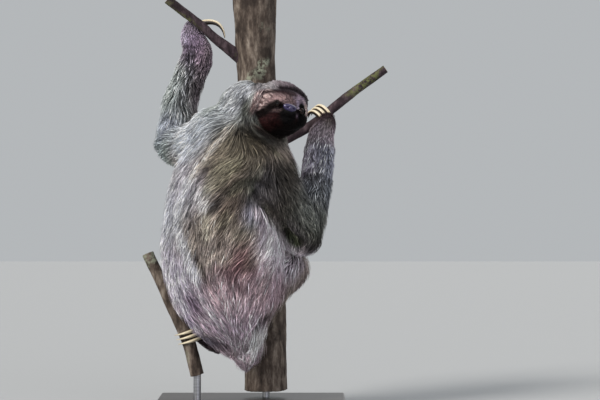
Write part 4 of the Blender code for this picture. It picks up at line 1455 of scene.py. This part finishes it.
def make_claws():
    """Long hooks, three to a paw, with the inside of each curve marked for its painted shade."""
    material = claw_material()
    for paw in CLAW_SETS:
        for number, (root, tip, arch) in enumerate(claw_roots(paw), 1):
            rows = []
            for t in np.linspace(0, 1, CLAW_RINGS):
                blunt = 1.0 if t < 0.98 else 0.6
                rows.append((*(root.lerp(tip, t) + arch * 4 * t * (1 - t)),
                             CLAW_RADIUS * (1 - CLAW_TAPER * t ** 1.6) * blunt))
            bm = bmesh.new()
            back = arch.normalized()
            tube(bm, rows, CLAW_SIDES, CLAW_FLATNESS, back)
            rows = np.array(rows)
            offsets = points_of(bm)[:, None] / MM - rows[None, :, :3]
            near = np.linalg.norm(offsets, axis=2).argmin(1)
            inner = offsets[np.arange(len(near)), near] @ -np.array(back) / rows[near, 3]
            name = f"claw_{paw}_{number}"
            obj = piece_of(bm, f"{name}_horn", [material], [name])
            # Marks the inside of the curve, where the horn is painted dark as shade.
            set_values(obj.data, "underside", "FLOAT", "value", step(-0.7, 0.1, inner))


def make_tree():
    """The cut lengths of tree: swollen and cracked bark, and bevelled sawn ends."""
    stem_bark = bark_material(
        "lichened stem bark",
        ((0.30, "#1f1a17"), (0.46, "#4a4039"), (0.58, "#6f645a"), (0.72, "#9a9084")),
        "#2b2420", "#8f9381", 0.58, 0.0024)
    limb_bark = bark_material(
        "dark mossy limb bark",
        ((0.30, "#181214"), (0.48, "#3b3034"), (0.64, "#5c4e52"), (0.8, "#776a6c")),
        "#1e1719", "#62663f", 0.57, 0.0014)
    sawn = cut_material()
    for name, rows, sides, grain, depth, bark in (
        ("perch_stem", STEM, 72, 3.0, 1.6, stem_bark),
        ("perch_limb_upper", UPPER_LIMB, 36, 2.5, 0.7, limb_bark),
        ("perch_limb_right", RIGHT_LIMB, 36, 2.5, 0.7, limb_bark),
        ("perch_limb_low", LOW_LIMB, 36, 2.5, 0.8, stem_bark),
    ):
        rows = np.array(rows, float)
        length = np.linalg.norm(np.diff(rows[:, :3], axis=0), axis=1).sum()
        path = smooth_rows(rows, max(4, int(length / grain / (len(rows) - 1))))
        bm = bmesh.new()
        tube(bm, path, sides, 1.0, Vector((0, 1, 0)))
        bm.normal_update()
        moves = []
        for vert in bm.verts:
            place = Vector((vert.co.x, vert.co.y, vert.co.z * BARK_SQUEEZE)) / MM
            swell = noise.fractal(place / SWELL_SIZE, 1.0, 2.0, 4) * depth
            crack = abs(noise.noise(place / CRACK_SIZE)) * depth * 0.6
            moves.append(vert.normal * (swell + crack - depth * 0.5) * MM)
        for vert, move in zip(bm.verts, moves):
            vert.co += move
        ends = [f for f in bm.faces if len(f.verts) > 4]
        edges = [e for f in ends for e in f.edges]
        bmesh.ops.inset_individual(bm, faces=ends, thickness=0.7 * MM, depth=0.0)
        middles = bmesh.ops.poke(bm, faces=ends)
        for face in middles["faces"]:
            face.material_index = 1
        bmesh.ops.bevel(
            bm, geom=edges, offset=0.5 * MM, segments=2, profile=0.5, affect="EDGES", material=-1)
        bm.verts.index_update()
        hearts = [v.index for v in middles["verts"]]
        obj = piece_of(bm, f"{name}_bark", [bark, sawn], [name])
        rings = np.ones(len(obj.data.vertices))
        rings[hearts] = 0
        set_values(obj.data, "ring", "FLOAT", "value", rings)


def make_stand(nodes):
    """The display stand: a bevelled board, and the two rods that carry the tree."""
    bm = bmesh.new()
    size = Matrix.Diagonal((*(BASE_SIZE * MM), 1.0))
    bmesh.ops.create_cube(
        bm, size=1.0, matrix=Matrix.Translation((0, 0, BASE_SIZE.z * MM / 2)) @ size)
    bmesh.ops.bevel(bm, geom=bm.edges[:], offset=BASE_BEVEL * MM, segments=4, profile=0.5,
                    affect="EDGES", material=-1)
    piece_of(bm, "stand_board", [board_material()], ["stand_base"])
    steel = steel_material()
    for name in ("stand_rod_stem", "stand_rod_limb"):
        nodes[name].data.materials.clear()
        nodes[name].data.materials.append(steel)


def make_studio():
    """A plain pale floor, soft even light, and the camera."""
    bm = bmesh.new()
    bmesh.ops.create_grid(bm, x_segments=1, y_segments=1, size=8.0)
    pale = new_material("pale studio floor", {"Base Color": srgb("#a9abac"), "Roughness": 0.9})[0]
    floor = linked("floor", mesh_of(bm, "floor", [pale]))
    scene = bpy.context.scene
    scene.world = bpy.data.worlds.new("studio")
    scene.world.use_nodes = True
    sky = scene.world.node_tree.nodes["Background"].inputs
    sky["Color"].default_value = srgb("#dfe3e6")
    sky["Strength"].default_value = 0.62
    for name, place, spread, power, colour in (
        ("key light", (-2.4, -2.3, 2.2), 20, 3.15, "#fffaf4"),
        ("fill light", (1.2, -3.0, 0.4), 60, 1.1, "#f4f4ff"),
        ("back light", (1.4, 2.4, 1.8), 50, 0.7, "#ffffff"),
    ):
        light = bpy.data.lights.new(name, "SUN")
        light.angle = math.radians(spread)
        light.energy = power
        light.color = srgb(colour)[:3]
        obj = linked(name, light)
        obj.location = place
        obj.rotation_euler = Vector(place).to_track_quat("Z", "Y").to_euler()
    lens = bpy.data.cameras.new("camera")
    lens.sensor_width = SENSOR_WIDTH
    lens.lens = SENSOR_WIDTH * VIEW_DISTANCE / VIEW_WIDTH
    camera = linked("camera", lens)
    camera.location = CAMERA_PLACE
    camera.rotation_euler = (math.radians(90), 0, 0)
    scene.camera = camera
    scene.view_settings.view_transform = "Standard"


def main():
    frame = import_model()
    nodes = frame["nodes"]
    share = 1.0
    make_studio()
    skin = make_skin(nodes)
    coat = hair_material("coarse sloth hair", 0.62, 0.32, 0.03)
    face = hair_material("short face hair", 0.55, 0.22, 0.0)
    grow_coat(skin, {"coat": coat, "face": face}, share)
    make_eyes()
    make_nose()
    make_claws()
    make_tree()
    make_stand(nodes)


main()
